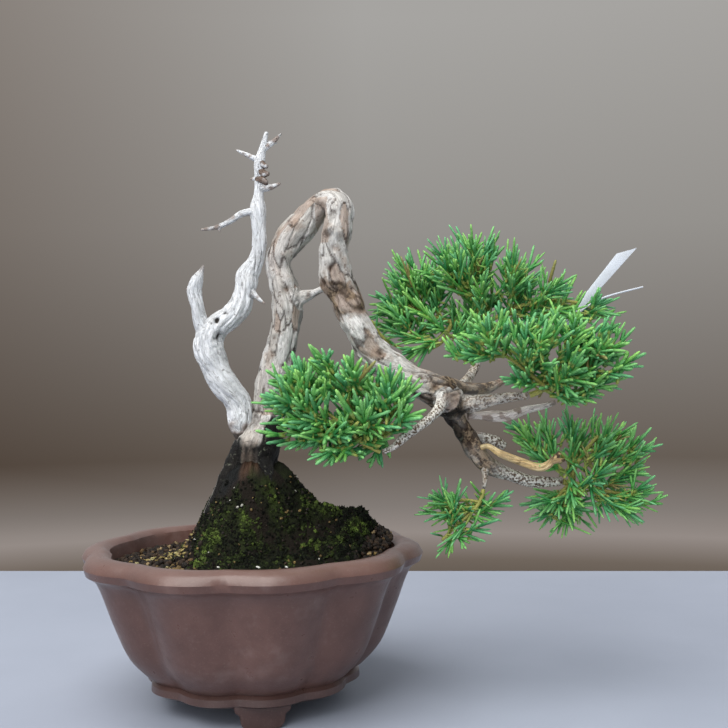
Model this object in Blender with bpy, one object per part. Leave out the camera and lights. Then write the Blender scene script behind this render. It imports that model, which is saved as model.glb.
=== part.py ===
"""Shimpaku juniper bonsai in a lobed stoneware pot.

The model is built in millimetres round the pot's axis, with the table at Z 0 and the
viewer's side at -Y. The last step moves the origin to the middle of the model's base
and turns millimetres into metres.
"""
import math
import random

import bpy
import bmesh
import numpy
from mathutils import Vector
from mathutils.bvhtree import BVHTree

MM = 0.001
GAP = 0.3                       # air between two pieces that touch
CLEAR_AIR = 0.35                # air between a shoot and another piece
OWN_AIR = 0.12                  # air between two shoots of one spray
CLEAR_STEPS = 6
TRIES = 12
UP = Vector((0, 0, 1))

# Pot
LOBES = 10
LOBE_TURN = math.radians(-92)   # a valley faces the viewer, two degrees to the left
LOBE_STEPS = 4                  # facets across one lobe
DRAIN_RADIUS = 7.0
FLOOR_Z = 13.2
# Outline from the drain hole, under the foot plate, up the outside, over the lip and
# down the inside: radius, height, lobe depth
POT_OUTLINE = [
    (DRAIN_RADIUS, 7.3, 0.0), (35.6, 7.3, 1.3), (37.4, 8.2, 1.6), (37.2, 10.4, 1.6),
    (35.2, 11.3, 1.6), (38.6, 13.0, 1.9), (45.2, 20.4, 2.4), (50.4, 32.0, 2.8),
    (54.6, 43.5, 3.0), (56.6, 47.4, 2.6), (59.2, 49.2, 2.0), (60.0, 51.6, 1.8),
    (58.8, 53.8, 1.7), (55.6, 55.2, 1.6), (52.4, 55.1, 1.5), (50.3, 53.6, 1.5),
    (49.4, 49.0, 1.5), (46.0, 32.0, 1.2), (40.0, 20.0, 0.8), (31.0, 14.2, 0.4),
    (DRAIN_RADIUS, FLOOR_Z, 0.0),
]
FEET = 3
FOOT_TURN = math.radians(-79)   # the front foot stands a little right of the middle
FOOT_RADIUS = 29.5
FOOT_THICK = 8.5
FOOT_OUTLINE = [
    (-9.6, 8.4), (-9.0, 5.6), (-7.4, 4.6), (-7.2, 2.0), (-5.8, 0.0),
    (5.8, 0.0), (7.2, 2.0), (7.4, 4.6), (9.0, 5.6), (9.6, 8.4),
]

# Drain mesh
MESH_SIZE = 22.0
MESH_CELLS = 7
MESH_THICK = 0.8
MESH_Z = FLOOR_Z + 0.66          # its corners lie just over the dished floor

# Soil and moss
SOIL_BASE_Z = 49.0
SOIL_SHORE_Z = 48.0
SOIL_FLOOR_Z = MESH_Z + MESH_THICK + GAP
HILLS = [(-0.5, 0.0, 32.0, 21.0), (31.0, 3.0, 15.0, 22.5), (-4.0, -16.0, 5.0, 15.0)]
PLUG_X = 0.6
PLUG_HOLE = 9.6                 # radius of the hole that the root plug stands in
PLUG_BOTTOM = 37.0
MOSS_THICK = 2.4
MOSS_EDGE = 0.7
MOSS_ROWS = 5
WALL_GAP = 0.5

# Wood: centre lines as x, y, z and radius
TRUNK = [
    (0.6, 0, 37.3, 6.0), (0.6, 0, 44, 7.4), (0.6, 0, 62, 8.6), (0.6, 0, 72, 8.7),
    (0.7, 0, 79, 8.6), (0.9, 0, 84, 8.1), (1.8, 0, 88.1, 8.0), (3.5, 1, 92, 7.5),
    (5.2, 2, 96, 6.5), (5.5, 3, 101, 5.6), (6.3, 3, 107, 5.6), (7.6, 3, 112.6, 5.6),
    (9.3, 3, 118.4, 5.7), (10.6, 3, 124.5, 5.6), (11.7, 3, 130.2, 5.4), (12.9, 3, 136.7, 5.6),
    (12.6, 3, 142.4, 5.4), (11.4, 3, 148.2, 5.0), (10.4, 3, 153.6, 4.5), (11, 3, 158, 4.8),
    (13.2, 3, 162.2, 5.4), (16.6, 3, 166.5, 5.4), (20.6, 3, 170.6, 5.0), (24.7, 2.5, 174.8, 4.5),
    (28.7, 0, 176.7, 4.3), (32, -3, 174, 4.6), (32.3, -5, 169, 4.8), (31.2, -6, 164, 5.3),
    (30.3, -6, 159, 4.9), (30.4, -6, 150.6, 5.4), (31.4, -6, 146.4, 5.6), (33.3, -6, 142.5, 5.1),
    (35.2, -6, 138, 5.2), (37, -6, 133.4, 4.9), (41.3, -6, 124.6, 5.2), (44.4, -6, 120.7, 5.4),
    (49.3, -6, 116.9, 5.1), (54.1, -7, 113.5, 5.0), (64.5, -8, 108.2, 5.2), (69.3, -8, 104.7, 5.6),
    (72.1, -8, 101.8, 4.2),
]
INNER_STUB = [(13.8, 3, 139.9, 3.2), (18.6, 2, 142.3, 2.2), (22.7, -1, 143.4, 1.4), (26.4, -4, 144.9, 1.1)]
DARK_STUB = [(6.4, 1, 94.1, 2.9), (10.8, 4, 96.7, 2.2), (14.2, 7, 98.7, 1.4)]
TOP_BRANCH = [
    (63.9, -6, 110.3, 2.8), (69, -4, 110.6, 2.3), (74.3, 0, 109.4, 2.1), (80, 3, 108.6, 2.1),
    (85.6, 5, 109.2, 1.8), (91.7, 7, 111.8, 0.9),
]
BACK_BRANCH = [(74, 0, 109.5, 1.8), (78.6, 6, 113.3, 1.6), (81.8, 12, 118.4, 1.5), (84.3, 17, 124.8, 1.2)]
RIGHT_BRANCH = [
    (69.3, -8, 104.7, 3.5), (74.8, -9, 103.4, 3.0), (80.8, -11, 104.6, 2.3), (88.8, -13, 105.8, 1.7),
    (96.1, -15, 106.4, 1.3),
]
LOWER_BRANCH = [
    (70.1, -7, 103.2, 4.2), (73, -5, 97.2, 3.5), (76.3, -3, 92.5, 3.4), (78.8, -2, 87.4, 3.4),
    (82.8, -1, 82.3, 3.0), (87.5, 0, 79.7, 2.5), (92.4, 0, 77.7, 2.3), (98.8, 0, 75.7, 2.1),
    (104.5, 0, 75.2, 1.8), (110.2, 0, 75.2, 1.2),
]
FRONT_BRANCH = [
    (69.9, -10, 105.7, 3.1), (67.3, -14, 105.2, 2.2), (65.1, -18, 101.9, 1.7), (61.4, -22, 98.7, 1.4),
    (56.5, -26, 95.7, 1.4), (52.7, -28, 93.2, 1.4), (50, -29, 90.7, 1.1), (46.1, -30, 88.8, 0.9),
]
HANGING_TWIG = [(82.3, -2, 81.4, 1.4), (82.2, -5, 77.4, 0.9), (81.4, -7, 74.2, 0.8)]
KNOB = [(79.3, 2, 91.8, 1.8), (83.5, 4, 90.9, 1.8), (87.9, 5, 89.3, 2.2), (90.8, 5, 87.5, 1.4)]

PALE_JIN = [
    (76.5, -5.4, 99.2, 1.2), (79.8, -4.8, 99.4, 1.1), (85.2, -5, 99.2, 1.7), (90.8, -6, 99.4, 1.6), (96.8, -6, 101.2, 1.3),
    (102.7, -6, 102.3, 0.9), (107, -6, 103.7, 0.8),
]
TAN_JIN = [
    (81.3, -4.5, 88.1, 1.1), (83.5, -6.6, 88.6, 1.0), (87.5, -8, 86, 1.4), (94.5, -8, 83.2, 1.5), (100.4, -8, 81.2, 1.5),
    (104.2, -8, 82.3, 1.4), (108.1, -8, 86.5, 0.8),
]
TAN_JIN_STUB = [(105, -8, 83, 1.0), (107.3, -10, 83.7, 0.9), (108.7, -12, 84, 0.7)]

DEADWOOD = [
    (-5.6, 0.5, 95.6, 1.3), (-4.9, 1, 98.2, 2.9), (-4.2, 1.5, 101.6, 4.3), (-6.1, 1, 106.4, 4.6),
    (-9.8, 0, 111.8, 4.6), (-12.8, 0, 117.1, 4.6), (-14.7, 0, 122.9, 5.1), (-14.6, 0, 127.9, 5.2),
    (-11.4, 0, 132.5, 4.3), (-7.1, 0.5, 135.7, 4.0), (-3.6, 1, 140.3, 3.7), (-1.9, 1.5, 145.7, 3.7),
    (-1.1, 2, 150, 3.4), (1.1, 2, 154, 2.7), (2.4, 2, 157.5, 2.4), (3.0, 2, 161.8, 2.5),
    (3.0, 2, 168.7, 2.5), (2.8, 2, 174.4, 2.5), (3, 2, 179.1, 1.7), (3.4, 2, 184.5, 1.6),
    (3.5, 2, 190.3, 1.8), (4.6, 2, 195.7, 1.2), (6.4, 2, 202.3, 0.4),
]
DEADWOOD_LIMBS = [
    [(-15, 0, 127.9, 3.2), (-17.6, -1, 133.5, 2.5), (-18.6, -2, 139.2, 2.2), (-19.5, -2, 144.5, 2.5),
     (-18.6, -3, 148.7, 2.0), (-16.2, -3, 153.4, 0.5)],
    [(2, 2, 173.4, 1.4), (-3.2, 1, 172.2, 1.1), (-6.4, 0, 169.9, 1.0), (-11.6, -1, 167.3, 0.8),
     (-17.3, -2, 166.2, 0.4)],
    [(3.2, 2, 181.6, 1.4), (6.9, 1, 181.6, 1.1), (11.1, 0, 182.8, 0.4)],
    [(4.4, 2, 195.3, 1.1), (8.3, 3, 198.4, 0.9), (11.4, 4, 201.7, 0.3)],
    [(7.2, 3, 197.7, 0.6), (9.6, 5, 198.5, 0.3)],
    [(2.9, 2, 191.7, 1.1), (-1.5, 3, 194, 0.8), (-5.2, 4, 196, 0.3)],
    [(3.7, 1, 190.4, 1.1), (6.9, 0, 190.5, 0.9)],
    [(3.7, 1, 187.2, 1.1), (7.7, -1, 186.6, 0.8)],
    [(3.3, 1, 184, 1.1), (7.4, -1, 183.2, 0.7)],
    [(-0.5, 0, 145.5, 1.4), (2.4, -1, 142.2, 0.8), (5.3, -2, 139.6, 0.3)],
    [(1.5, 2, 155.8, 1.1), (-0.8, 2, 156.9, 0.4)],
    [(-19.1, -2, 144.9, 1.2), (-22.7, -2, 145.3, 0.4)],
    [(2.5, 2, 185.2, 0.9), (0, 2, 184.7, 0.3)],
]

# Foliage. A spray has stems (x, y, z, radius), outer shoot tips (x, y, z) that fan out in
# depth, and cushions (centre and half sizes) whose skin is filled evenly with more twigs.
# Shares are of the length of the twig or shoot in question.
TWIG_RADIUS = 0.6
ROOT_RADIUS = 0.3               # of a twig, in the middle of the stem that it grows from
ROOT_SHARES = (0.2, 0.4, 0.6, 0.8)  # where twigs may leave a stretch of stem
TWIG_REACH = 2.6                # usual reach of a twig with its tip, in shoot lengths
SHORTEST_REACH = 1.1
INWARD_PULL = 0.2               # how strongly twigs prefer to start near the spray's root
BARE_SHARE = 0.3                # of a twig, before its first whorl
TWIG_SWING = 0.2
TWIG_SAG = 0.1
WHORL_SPACING = 3.0
INNER_WHORLS = 3                # whorls of plain shoots, inside the bunch
TIP_SHARE = 0.6                 # where along an outer shoot it is thickest
SHOOT_SPREAD = (34, 60)         # degrees away from the twig
SHOOT_DRIFT = 0.25
SHOOT_LENGTHS = (0.75, 1.1)
TWIG_ROOT_SHARE = 0.8           # of a twig's bare stretch, may lie among its neighbours
SHOOT_ROOT_SHARE = 0.35
CUSHION_SKIN = (0.78, 1.0)
CROSSING_SHRINK = 0.98
GOLDEN_ANGLE = math.pi * (3 - math.sqrt(5))
SPRAYS = {
    "spray_front": {
        "seed": 3, "fill": 8, "fan": 8.0, "whorls": 4, "shoot_length": 7.5, "shoot_radius": 0.9,
        "stems": [
            [(45.2, -30.1, 88.8, 0.7), (39.3, -31, 91.9, 0.7), (34.1, -31, 96.8, 0.7),
             (28.3, -30, 101.4, 0.6), (21.1, -30, 105.4, 0.5)],
            [(34.1, -31, 96.8, 0.7), (25.1, -33, 94.5, 0.5), (15.9, -31, 96.4, 0.5)],
            [(39.3, -31, 91.9, 0.7), (45.2, -29, 97.9, 0.5), (50.6, -28, 103.1, 0.5)],
            [(34.1, -31, 96.8, 0.7), (35.5, -30, 104.6, 0.5), (34.2, -29, 111.8, 0.5)],
        ],
        "tips": [
            (23, -30, 124), (17, -33, 122), (11, -30, 115), (7, -30, 108), (3, -30, 105), (7, -31, 102),
            (37, -30, 122), (42, -27, 118), (29, -28, 118), (49, -28, 118), (55, -28, 115),
            (59, -28, 113), (60, -27, 103), (56, -27, 99), (15, -31, 91), (22, -32, 87),
            (31, -33, 87), (42, -32, 83), (52, -30, 97),
        ],
        "cushions": [
            (21, -30, 110, 14, 15, 13), (34, -31, 109, 14, 17, 13), (48, -29, 108, 12, 13, 10),
            (19, -31, 97, 14, 13, 8), (34, -31, 94, 14, 14, 8),
        ],
    },
    "spray_back": {
        "seed": 5, "fill": 12, "fan": 9.0, "whorls": 4, "shoot_length": 9.0, "shoot_radius": 0.8,
        "stems": [
            [(84.5, 17.4, 125.4, 1.0), (84.8, 20, 132, 1.0), (82.6, 20, 140.3, 0.8), (80.5, 20, 148.6, 0.7)],
            [(84.8, 20, 132, 0.9), (73.7, 22, 133.8, 0.8), (61.6, 22, 137.7, 0.6), (54.1, 22, 142.3, 0.6)],
            [(84.8, 20, 132, 0.9), (97.6, 22, 138.8, 0.8), (110.9, 22, 141.7, 0.7), (124.1, 22, 140, 0.6)],
            [(73.7, 22, 133.8, 0.8), (68.6, 16, 125.3, 0.7), (58.8, 14, 122.7, 0.6),
             (48.4, 14, 126.9, 0.6), (43, 14, 134.4, 0.5)],
        ],
        "tips": [
            (80, 20, 169), (90, 20, 167), (72, 22, 165), (64, 20, 164), (56, 20, 159), (50, 22, 158),
            (96, 20, 164), (102, 22, 160), (111, 24, 151), (119, 22, 150), (133, 24, 146),
            (138, 22, 139), (136, 24, 135), (42, 18, 144), (41, 14, 136), (46, 22, 142),
            (48, 22, 150), (41, 14, 130), (52, 15, 118),
        ],
        "cushions": [
            (81, 21, 151, 23, 19, 18), (59, 22, 146, 15, 16, 16), (104, 24, 146, 16, 17, 14),
            (125, 24, 139, 14, 14, 9), (51, 18, 135, 9, 10, 9), (80, 24, 134, 14, 13, 8),
        ],
    },
    "spray_right": {
        "seed": 7, "fill": 10, "fan": 8.0, "whorls": 4, "shoot_length": 7.5, "shoot_radius": 0.85,
        "stems": [
            [(96.7, -15.1, 106.5, 1.1), (102.1, -16, 108.9, 0.9), (105.8, -18, 113.6, 0.7),
             (108.2, -20, 119, 0.6)],
            [(102.1, -16, 108.9, 0.8), (111.3, -19, 110.2, 0.7), (119.6, -20, 113.5, 0.6)],
            [(105.8, -18, 113.6, 0.7), (116.3, -20, 118.9, 0.6), (123.7, -20, 121.5, 0.5)],
            [(102.1, -16, 108.9, 0.7), (93, -18, 116.5, 0.6), (84.7, -20, 122, 0.5), (76, -20, 125.4, 0.5)],
        ],
        "tips": [
            (133, -20, 120), (129, -20, 112), (122, -20, 105), (117, -18, 104), (67, -20, 120),
            (70, -20, 123), (75, -20, 131), (90, -20, 136), (99, -22, 135), (111, -20, 135),
            (120, -20, 133), (126, -20, 130), (129, -22, 125), (107, -17, 104), (89, -18, 110),
            (85, -20, 113),
        ],
        "cushions": [
            (105, -21, 124, 19, 16, 13), (119, -21, 121, 13, 15, 11), (86, -22, 127, 14, 14, 9),
            (112, -20, 112, 15, 14, 7), (73, -21, 123, 7, 8, 5),
        ],
    },
    "spray_lower": {
        "seed": 11, "fill": 3, "fan": 8.0, "whorls": 4, "shoot_length": 9.0, "shoot_radius": 0.75,
        "stems": [
            [(110.6, 0, 75.2, 1.1), (115.9, 0, 74.4, 0.9), (123.7, 0, 72.2, 0.8), (131.5, 0, 70.7, 0.6),
             (137.9, 0, 68.5, 0.6)],
            [(113, 0, 74.8, 0.9), (114.8, -2, 81, 0.8), (118.2, -3, 86.7, 0.7), (122.6, -3, 91.6, 0.6)],
            [(114.8, -2, 81, 0.7), (108.6, 2, 86.4, 0.6), (106, 3, 93.6, 0.6)],
            [(113, 0, 74.8, 0.8), (109.1, 2, 69.6, 0.6), (106.9, 2, 64.3, 0.6)],
            [(118.2, -3, 86.7, 0.7), (127.4, -3, 85.9, 0.6), (135.5, -2, 86.4, 0.5)],
        ],
        "tips": [
            (111, 2, 103), (103, 4, 101), (93, 4, 98), (89, 3, 94), (92, 4, 90), (122, -3, 98),
            (128, -4, 100), (137, -2, 96), (139, -2, 94), (144, 0, 89), (142, 0, 84), (142, 0, 80),
            (144, 0, 72), (146, 0, 67), (142, 2, 59), (136, -3, 62), (128, 2, 58), (119, 3, 58),
            (112, -3, 62), (106, 3, 55), (100, 4, 59), (96, 4, 65), (99, 5, 69), (124, -4, 65),
        ],
        "cushions": [
            (120, -2, 88, 15, 16, 12), (134, -2, 86, 10, 14, 11), (101, 4, 91, 12, 13, 9),
            (135, -1, 71, 11, 15, 11), (117, 1, 64, 14, 14, 7), (101, 4, 64, 6, 9, 6),
        ],
    },
    "spray_hanging": {
        "seed": 13, "fill": 0, "fan": 5.0, "whorls": 4, "shoot_length": 8.0, "shoot_radius": 0.7,
        "stems": [
            [(81.3, -7.2, 73.7, 0.8), (80, -8, 69.4, 0.7), (76.4, -9, 65.4, 0.6), (71.5, -9, 61.3, 0.6),
             (66.6, -9, 56.5, 0.5)],
            [(80, -8, 69.4, 0.6), (74, -6, 69.9, 0.6), (66.3, -5, 68.5, 0.5)],
        ],
        "tips": [
            (58, -6, 72), (57, -8, 65), (60, -9, 57), (64, -9, 51), (72, -9, 50), (76, -10, 57),
            (86, -8, 64), (92, -8, 73), (67, -5, 78), (73, -7, 78), (89, -6, 68), (81, -10, 59),
        ],
        "cushions": [(77, -8, 71, 12, 12, 8), (65, -7, 67, 8, 10, 8), (69, -9, 58, 8, 9, 7)],
    },
}

# Plant tag: a blank strip and its thin tie. The outline holds corner points on the strip's
# middle plane, and the midline's third number is half the strip's width.
TAG_THICK = 0.6
TAG_Y = 20.7
TAG_OUTLINE = [(112.9, 130.3), (115.8, 128.3), (123.1, 137.1), (143.7, 160.9), (136.0, 158.8), (118.5, 139.2)]
TAG_MIDLINE = [(114.4, 129.3, 2.2), (120.8, 138.1, 3.2), (139.8, 159.8, 3.8)]
TAG_TIE = [
    (116.0, TAG_Y, 131.8, 0.35), (123.9, 19.0, 138.7, 0.35), (131.9, 19.2, 142.6, 0.35), (145.6, 20.2, 146.1, 0.3),
]


def new_material(name, color, roughness):
    """A plain surface finish."""
    material = bpy.data.materials.new(name)
    material.use_nodes = True
    shader = material.node_tree.nodes["Principled BSDF"]
    shader.inputs["Base Color"].default_value = (*color, 1)
    shader.inputs["Roughness"].default_value = roughness
    shader.inputs["Metallic"].default_value = 0
    return material


def shade(mesh):
    """Smooth shading that keeps the edges sharper than 40 degrees."""
    mesh.shade_smooth()
    mesh.set_sharp_from_angle(angle=math.radians(40))


def new_object(name, shape, material=None):
    """A mesh object from points and faces, with its faces turned outwards."""
    points, faces = shape
    work = bmesh.new()
    corners = [work.verts.new(point) for point in points]
    for face in faces:
        work.faces.new([corners[i] for i in face])
    bmesh.ops.recalc_face_normals(work, faces=work.faces)
    mesh = bpy.data.meshes.new(name)
    work.to_mesh(mesh)
    work.free()
    shade(mesh)
    if material:
        mesh.materials.append(material)
    piece = bpy.data.objects.new(name, mesh)
    bpy.context.scene.collection.objects.link(piece)
    return piece


def lobed(radius, depth, angle):
    """Radius of a round wall drawn in to a crease between its lobes."""
    swell = abs(math.sin(LOBES / 2 * (angle - LOBE_TURN)))
    return radius - depth * (1 - swell)


def turned(rows, point_at, ring=True):
    """Skin that carries rows of an outline round the vertical axis.

    A ring's outline closes on itself. Otherwise both ends are capped.
    """
    segments = LOBES * LOBE_STEPS
    start = LOBE_TURN
    points = [point_at(row, start + 2 * math.pi * i / segments) for row in rows for i in range(segments)]
    count = len(rows)
    faces = []
    for j in range(count if ring else count - 1):
        for i in range(segments):
            n = (i + 1) % segments
            a, b = j * segments, (j + 1) % count * segments
            faces += [(a + i, a + n, b + n), (a + i, b + n, b + i)]
    if not ring:
        last = (count - 1) * segments
        faces += [tuple(reversed(range(segments))), tuple(range(last, last + segments))]
    return points, faces


def tube(path, sides, relief=0.0, seed=0):
    """A closed tube along rows of x, y, z and radius; relief makes its ridges uneven."""
    dice = random.Random(seed)
    centres = [Vector(row[:3]) for row in path]
    lumps = [dice.uniform(-1, 1) for _ in range(sides)]
    points, faces = [], []
    normal = (centres[1] - centres[0]).orthogonal()
    for k, centre in enumerate(centres):
        along = (centres[min(k + 1, len(centres) - 1)] - centres[max(k - 1, 0)]).normalized()
        normal = (normal - along * normal.dot(along)).normalized()
        side = along.cross(normal)
        for i in range(sides):
            angle = 2 * math.pi * i / sides
            swell = 1 + relief * (0.6 * lumps[i] + 0.4 * math.sin(1.7 * k + 2.3 * i + seed))
            points.append(centre + (normal * math.cos(angle) + side * math.sin(angle)) * path[k][3] * swell)
    for k in range(len(path) - 1):
        for i in range(sides):
            n = (i + 1) % sides
            a, b = k * sides, (k + 1) * sides
            faces.append((a + i, a + n, b + n, b + i))
    last = (len(path) - 1) * sides
    faces += [tuple(reversed(range(sides))), tuple(range(last, last + sides))]
    return points, faces


def spike(points, base, tip):
    """Faces of a plain shoot drawn out of a three-cornered base."""
    points.append(tip)
    return [(base[i], base[(i + 1) % 3], len(points) - 1) for i in range(3)]


def draw_out(points, base, root, tip, radius):
    """Faces of a shoot drawn out of a three-cornered base: thickest past its middle, pointed."""
    along = (tip - root).normalized()
    normal = points[base[0]] - root
    normal = (normal - along * normal.dot(along)).normalized()
    side = along.cross(normal)
    middle = root.lerp(tip, TIP_SHARE)
    first = len(points)
    for i in range(3):
        angle = 2 * math.pi * i / 3
        points.append(middle + (normal * math.cos(angle) + side * math.sin(angle)) * radius)
    points.append(tip)
    faces = []
    for i in range(3):
        n = (i + 1) % 3
        faces += [(base[i], base[n], first + n), (base[i], first + n, first + i)]
        faces.append((first + i, first + n, first + 3))
    return faces


def crossings(points, triangles):
    """Pairs of triangles that pass through each other.

    Each is drawn in a little first, so that neighbours along an edge don't count.
    """
    corners, cells = [], []
    for triangle in triangles:
        middle = sum((points[i] for i in triangle), Vector()) / 3
        cells.append(tuple(range(len(corners), len(corners) + 3)))
        corners += [middle.lerp(points[i], CROSSING_SHRINK) for i in triangle]
    tree = BVHTree.FromPolygons(corners, cells)
    return [(a, b) for a, b in tree.overlap(tree) if a < b]


def keep_main_body(mesh):
    """Leave the largest closed skin, which drops scraps and fills sealed hollows."""
    work = bmesh.new()
    work.from_mesh(mesh)
    bmesh.ops.triangulate(work, faces=work.faces)
    islands, seen = [], set()
    for face in work.faces:
        if face in seen:
            continue
        island, waiting = [], [face]
        seen.add(face)
        while waiting:
            current = waiting.pop()
            island.append(current)
            for edge in current.edges:
                for other in edge.link_faces:
                    if other not in seen:
                        seen.add(other)
                        waiting.append(other)
        islands.append(island)
    islands.sort(key=len, reverse=True)
    spare = [face for island in islands[1:] for face in island]
    bmesh.ops.delete(work, geom=spare, context="FACES")
    work.to_mesh(mesh)
    work.free()


def fuse(piece, parts, solver="MANIFOLD"):
    """Join the parts to the piece as one body, and remove the parts."""
    group = bpy.data.collections.new(piece.name + "_parts")
    bpy.context.scene.collection.children.link(group)
    for part in parts:
        bpy.context.scene.collection.objects.unlink(part)
        group.objects.link(part)
    union = piece.modifiers.new("union", "BOOLEAN")
    union.operation = "UNION"
    union.operand_type = "COLLECTION"
    union.collection = group
    union.solver = solver
    ready = piece.evaluated_get(bpy.context.evaluated_depsgraph_get())
    shape = bpy.data.meshes.new_from_object(ready)
    piece.modifiers.clear()
    piece.data = shape
    for part in parts:
        bpy.data.objects.remove(part)
    bpy.data.collections.remove(group)
    keep_main_body(piece.data)
    shade(piece.data)
    return piece


def extruded(outline, low, high, place):
    """A plate from an outline, between two distances that place() turns into points."""
    points = [place(a, b, low) for a, b in outline] + [place(a, b, high) for a, b in outline]
    count = len(outline)
    faces = [tuple(reversed(range(count))), tuple(range(count, 2 * count))]
    faces += [(i, (i + 1) % count, (i + 1) % count + count, i + count) for i in range(count)]
    return points, faces


def make_pot(material):
    """Bowl, lip and foot plate in one turning, with the cloud feet fused on."""
    def wall(row, angle):
        radius, height, depth = row
        reach = lobed(radius, depth, angle)
        return (reach * math.cos(angle), reach * math.sin(angle), height)

    pot = new_object("pot", turned(POT_OUTLINE, wall), material)
    feet = []
    for k in range(FEET):
        turn = FOOT_TURN + 2 * math.pi * k / FEET
        outward = Vector((math.cos(turn), math.sin(turn), 0))
        across = Vector((-math.sin(turn), math.cos(turn), 0))

        def foot_point(t, z, reach):
            return outward * reach + across * t + Vector((0, 0, z))

        inside, outside = FOOT_RADIUS - FOOT_THICK / 2, FOOT_RADIUS + FOOT_THICK / 2
        feet.append(new_object("foot", extruded(FOOT_OUTLINE, inside, outside, foot_point)))
    return fuse(pot, feet, "EXACT")


def make_drain_mesh(material):
    """A square net with open cells, which covers the drain hole."""
    cell = MESH_SIZE / MESH_CELLS
    work = bmesh.new()
    bmesh.ops.create_grid(work, x_segments=MESH_CELLS, y_segments=MESH_CELLS, size=MESH_SIZE / 2)
    holes = []
    for face in work.faces:
        middle = face.calc_center_median()
        column = round((middle.x + MESH_SIZE / 2) / cell - 0.5)
        row = round((middle.y + MESH_SIZE / 2) / cell - 0.5)
        if column % 2 and row % 2:
            holes.append(face)
    bmesh.ops.delete(work, geom=holes, context="FACES")
    bmesh.ops.translate(work, verts=work.verts, vec=(0, 0, MESH_Z))
    skin = bmesh.ops.extrude_face_region(work, geom=work.faces[:])
    top = [item for item in skin["geom"] if isinstance(item, bmesh.types.BMVert)]
    bmesh.ops.translate(work, verts=top, vec=(0, 0, MESH_THICK))
    bmesh.ops.recalc_face_normals(work, faces=work.faces)
    mesh = bpy.data.meshes.new("drain_mesh")
    work.to_mesh(mesh)
    work.free()
    mesh.materials.append(material)
    net = bpy.data.objects.new("drain_mesh", mesh)
    bpy.context.scene.collection.objects.link(net)
    return net


def mound_height(x, y):
    """Height of the finished ground: a flat bed with a steep hill and a ridge to the right."""
    height = SOIL_BASE_Z
    for hill_x, hill_y, rise, spread in HILLS:
        height += rise * math.exp(-((x - hill_x) ** 2 + (y - hill_y) ** 2) / spread ** 2)
    return height


def moss_edge(angle):
    """How far the moss reaches from the trunk in each direction."""
    reach = 36 + 6 * math.cos(angle - 0.15) - 3 * math.sin(angle)
    return reach + 1.4 * math.sin(5 * angle + 1) + 1.0 * math.sin(9 * angle)


def moss_point(share, angle, lift):
    """A point of the moss bed: share 0 at the plug hole, 1 at the edge of the moss."""
    reach = PLUG_HOLE + (moss_edge(angle) - PLUG_HOLE) * share
    x, y = PLUG_X + reach * math.cos(angle), reach * math.sin(angle)
    return (x, y, mound_height(x, y) + lift(x, y, share))


def moss_depth(share):
    """Thickness of the moss, thinner towards its edge."""
    return MOSS_EDGE + (MOSS_THICK - MOSS_EDGE) * (1 - share ** 3)


def moss_bumps(x, y, share):
    """Cushions: round swellings, largest on the right-hand ridge."""
    size = 0.45 + 0.75 * max(0.0, min(1.0, (x - 5) / 30))
    wave = math.sin(0.62 * x + 1.3 * math.sin(0.4 * y)) * math.sin(0.66 * y + 1.1 * math.sin(0.5 * x))
    return size * (1.2 * wave + 0.4) * (1 - share ** 4)


def make_moss(material):
    """The moss coat of the mound, a bumpy ring round the trunk."""
    shares = [k / MOSS_ROWS for k in range(MOSS_ROWS + 1)]
    rows = [(share, False) for share in shares] + [(share, True) for share in reversed(shares)]

    def coat(row, angle):
        share, upper = row
        if upper:
            return moss_point(share, angle, moss_bumps)
        return moss_point(share, angle, lambda x, y, s: -moss_depth(s))

    return new_object("moss_mound", turned(rows, coat), material)


def inner_wall(height):
    """Radius and lobe depth of the pot's inner wall at a height."""
    inside = POT_OUTLINE[-6:]
    for (r1, z1, d1), (r2, z2, d2) in zip(inside, inside[1:]):
        if z2 <= height <= z1:
            t = (height - z2) / (z1 - z2)
            return r2 + (r1 - r2) * t, d2 + (d1 - d2) * t
    return inside[0][0], inside[0][2]


def make_soil(material):
    """The bed that fills the pot, with the hole that the root plug stands in."""
    shares = [k / MOSS_ROWS for k in range(MOSS_ROWS + 1)]
    rows = [("plug", PLUG_BOTTOM)] + [("moss", share) for share in shares]
    rows += [("shore", 0.5)] + [("wall", z) for z in (SOIL_SHORE_Z, 32.0, 20.0, SOIL_FLOOR_Z)]

    def wall_point(height, angle):
        radius, depth = inner_wall(height)
        reach = lobed(radius, depth, angle) - WALL_GAP
        return Vector((reach * math.cos(angle), reach * math.sin(angle), height))

    def bed(row, angle):
        kind, value = row
        if kind == "plug":
            return (PLUG_X + PLUG_HOLE * math.cos(angle), PLUG_HOLE * math.sin(angle), value)
        if kind == "moss":
            return moss_point(value, angle, lambda x, y, s: -moss_depth(s) - GAP)
        if kind == "shore":
            edge = Vector(moss_point(1.0, angle, lambda x, y, s: -moss_depth(s) - GAP))
            return edge.lerp(wall_point(SOIL_SHORE_Z, angle), value)
        return wall_point(value, angle)

    return new_object("soil", turned(rows, bed, ring=False), material)


def make_wood(name, main, limbs, sides, relief, material):
    """A bole and its limbs in one body."""
    bole = new_object(name, tube(main, sides, relief, len(main)), material)
    parts = []
    for k, limb in enumerate(limbs):
        parts.append(new_object("limb", tube(limb, max(4, sides - 4), relief, k)))
    return fuse(bole, parts) if parts else bole


def capsules(paths):
    """Straight stretches of rows x, y, z, radius, for measuring clearance."""
    return [(Vector(a[:3]), Vector(b[:3]), max(a[3], b[3])) for path in paths for a, b in zip(path, path[1:])]


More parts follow.
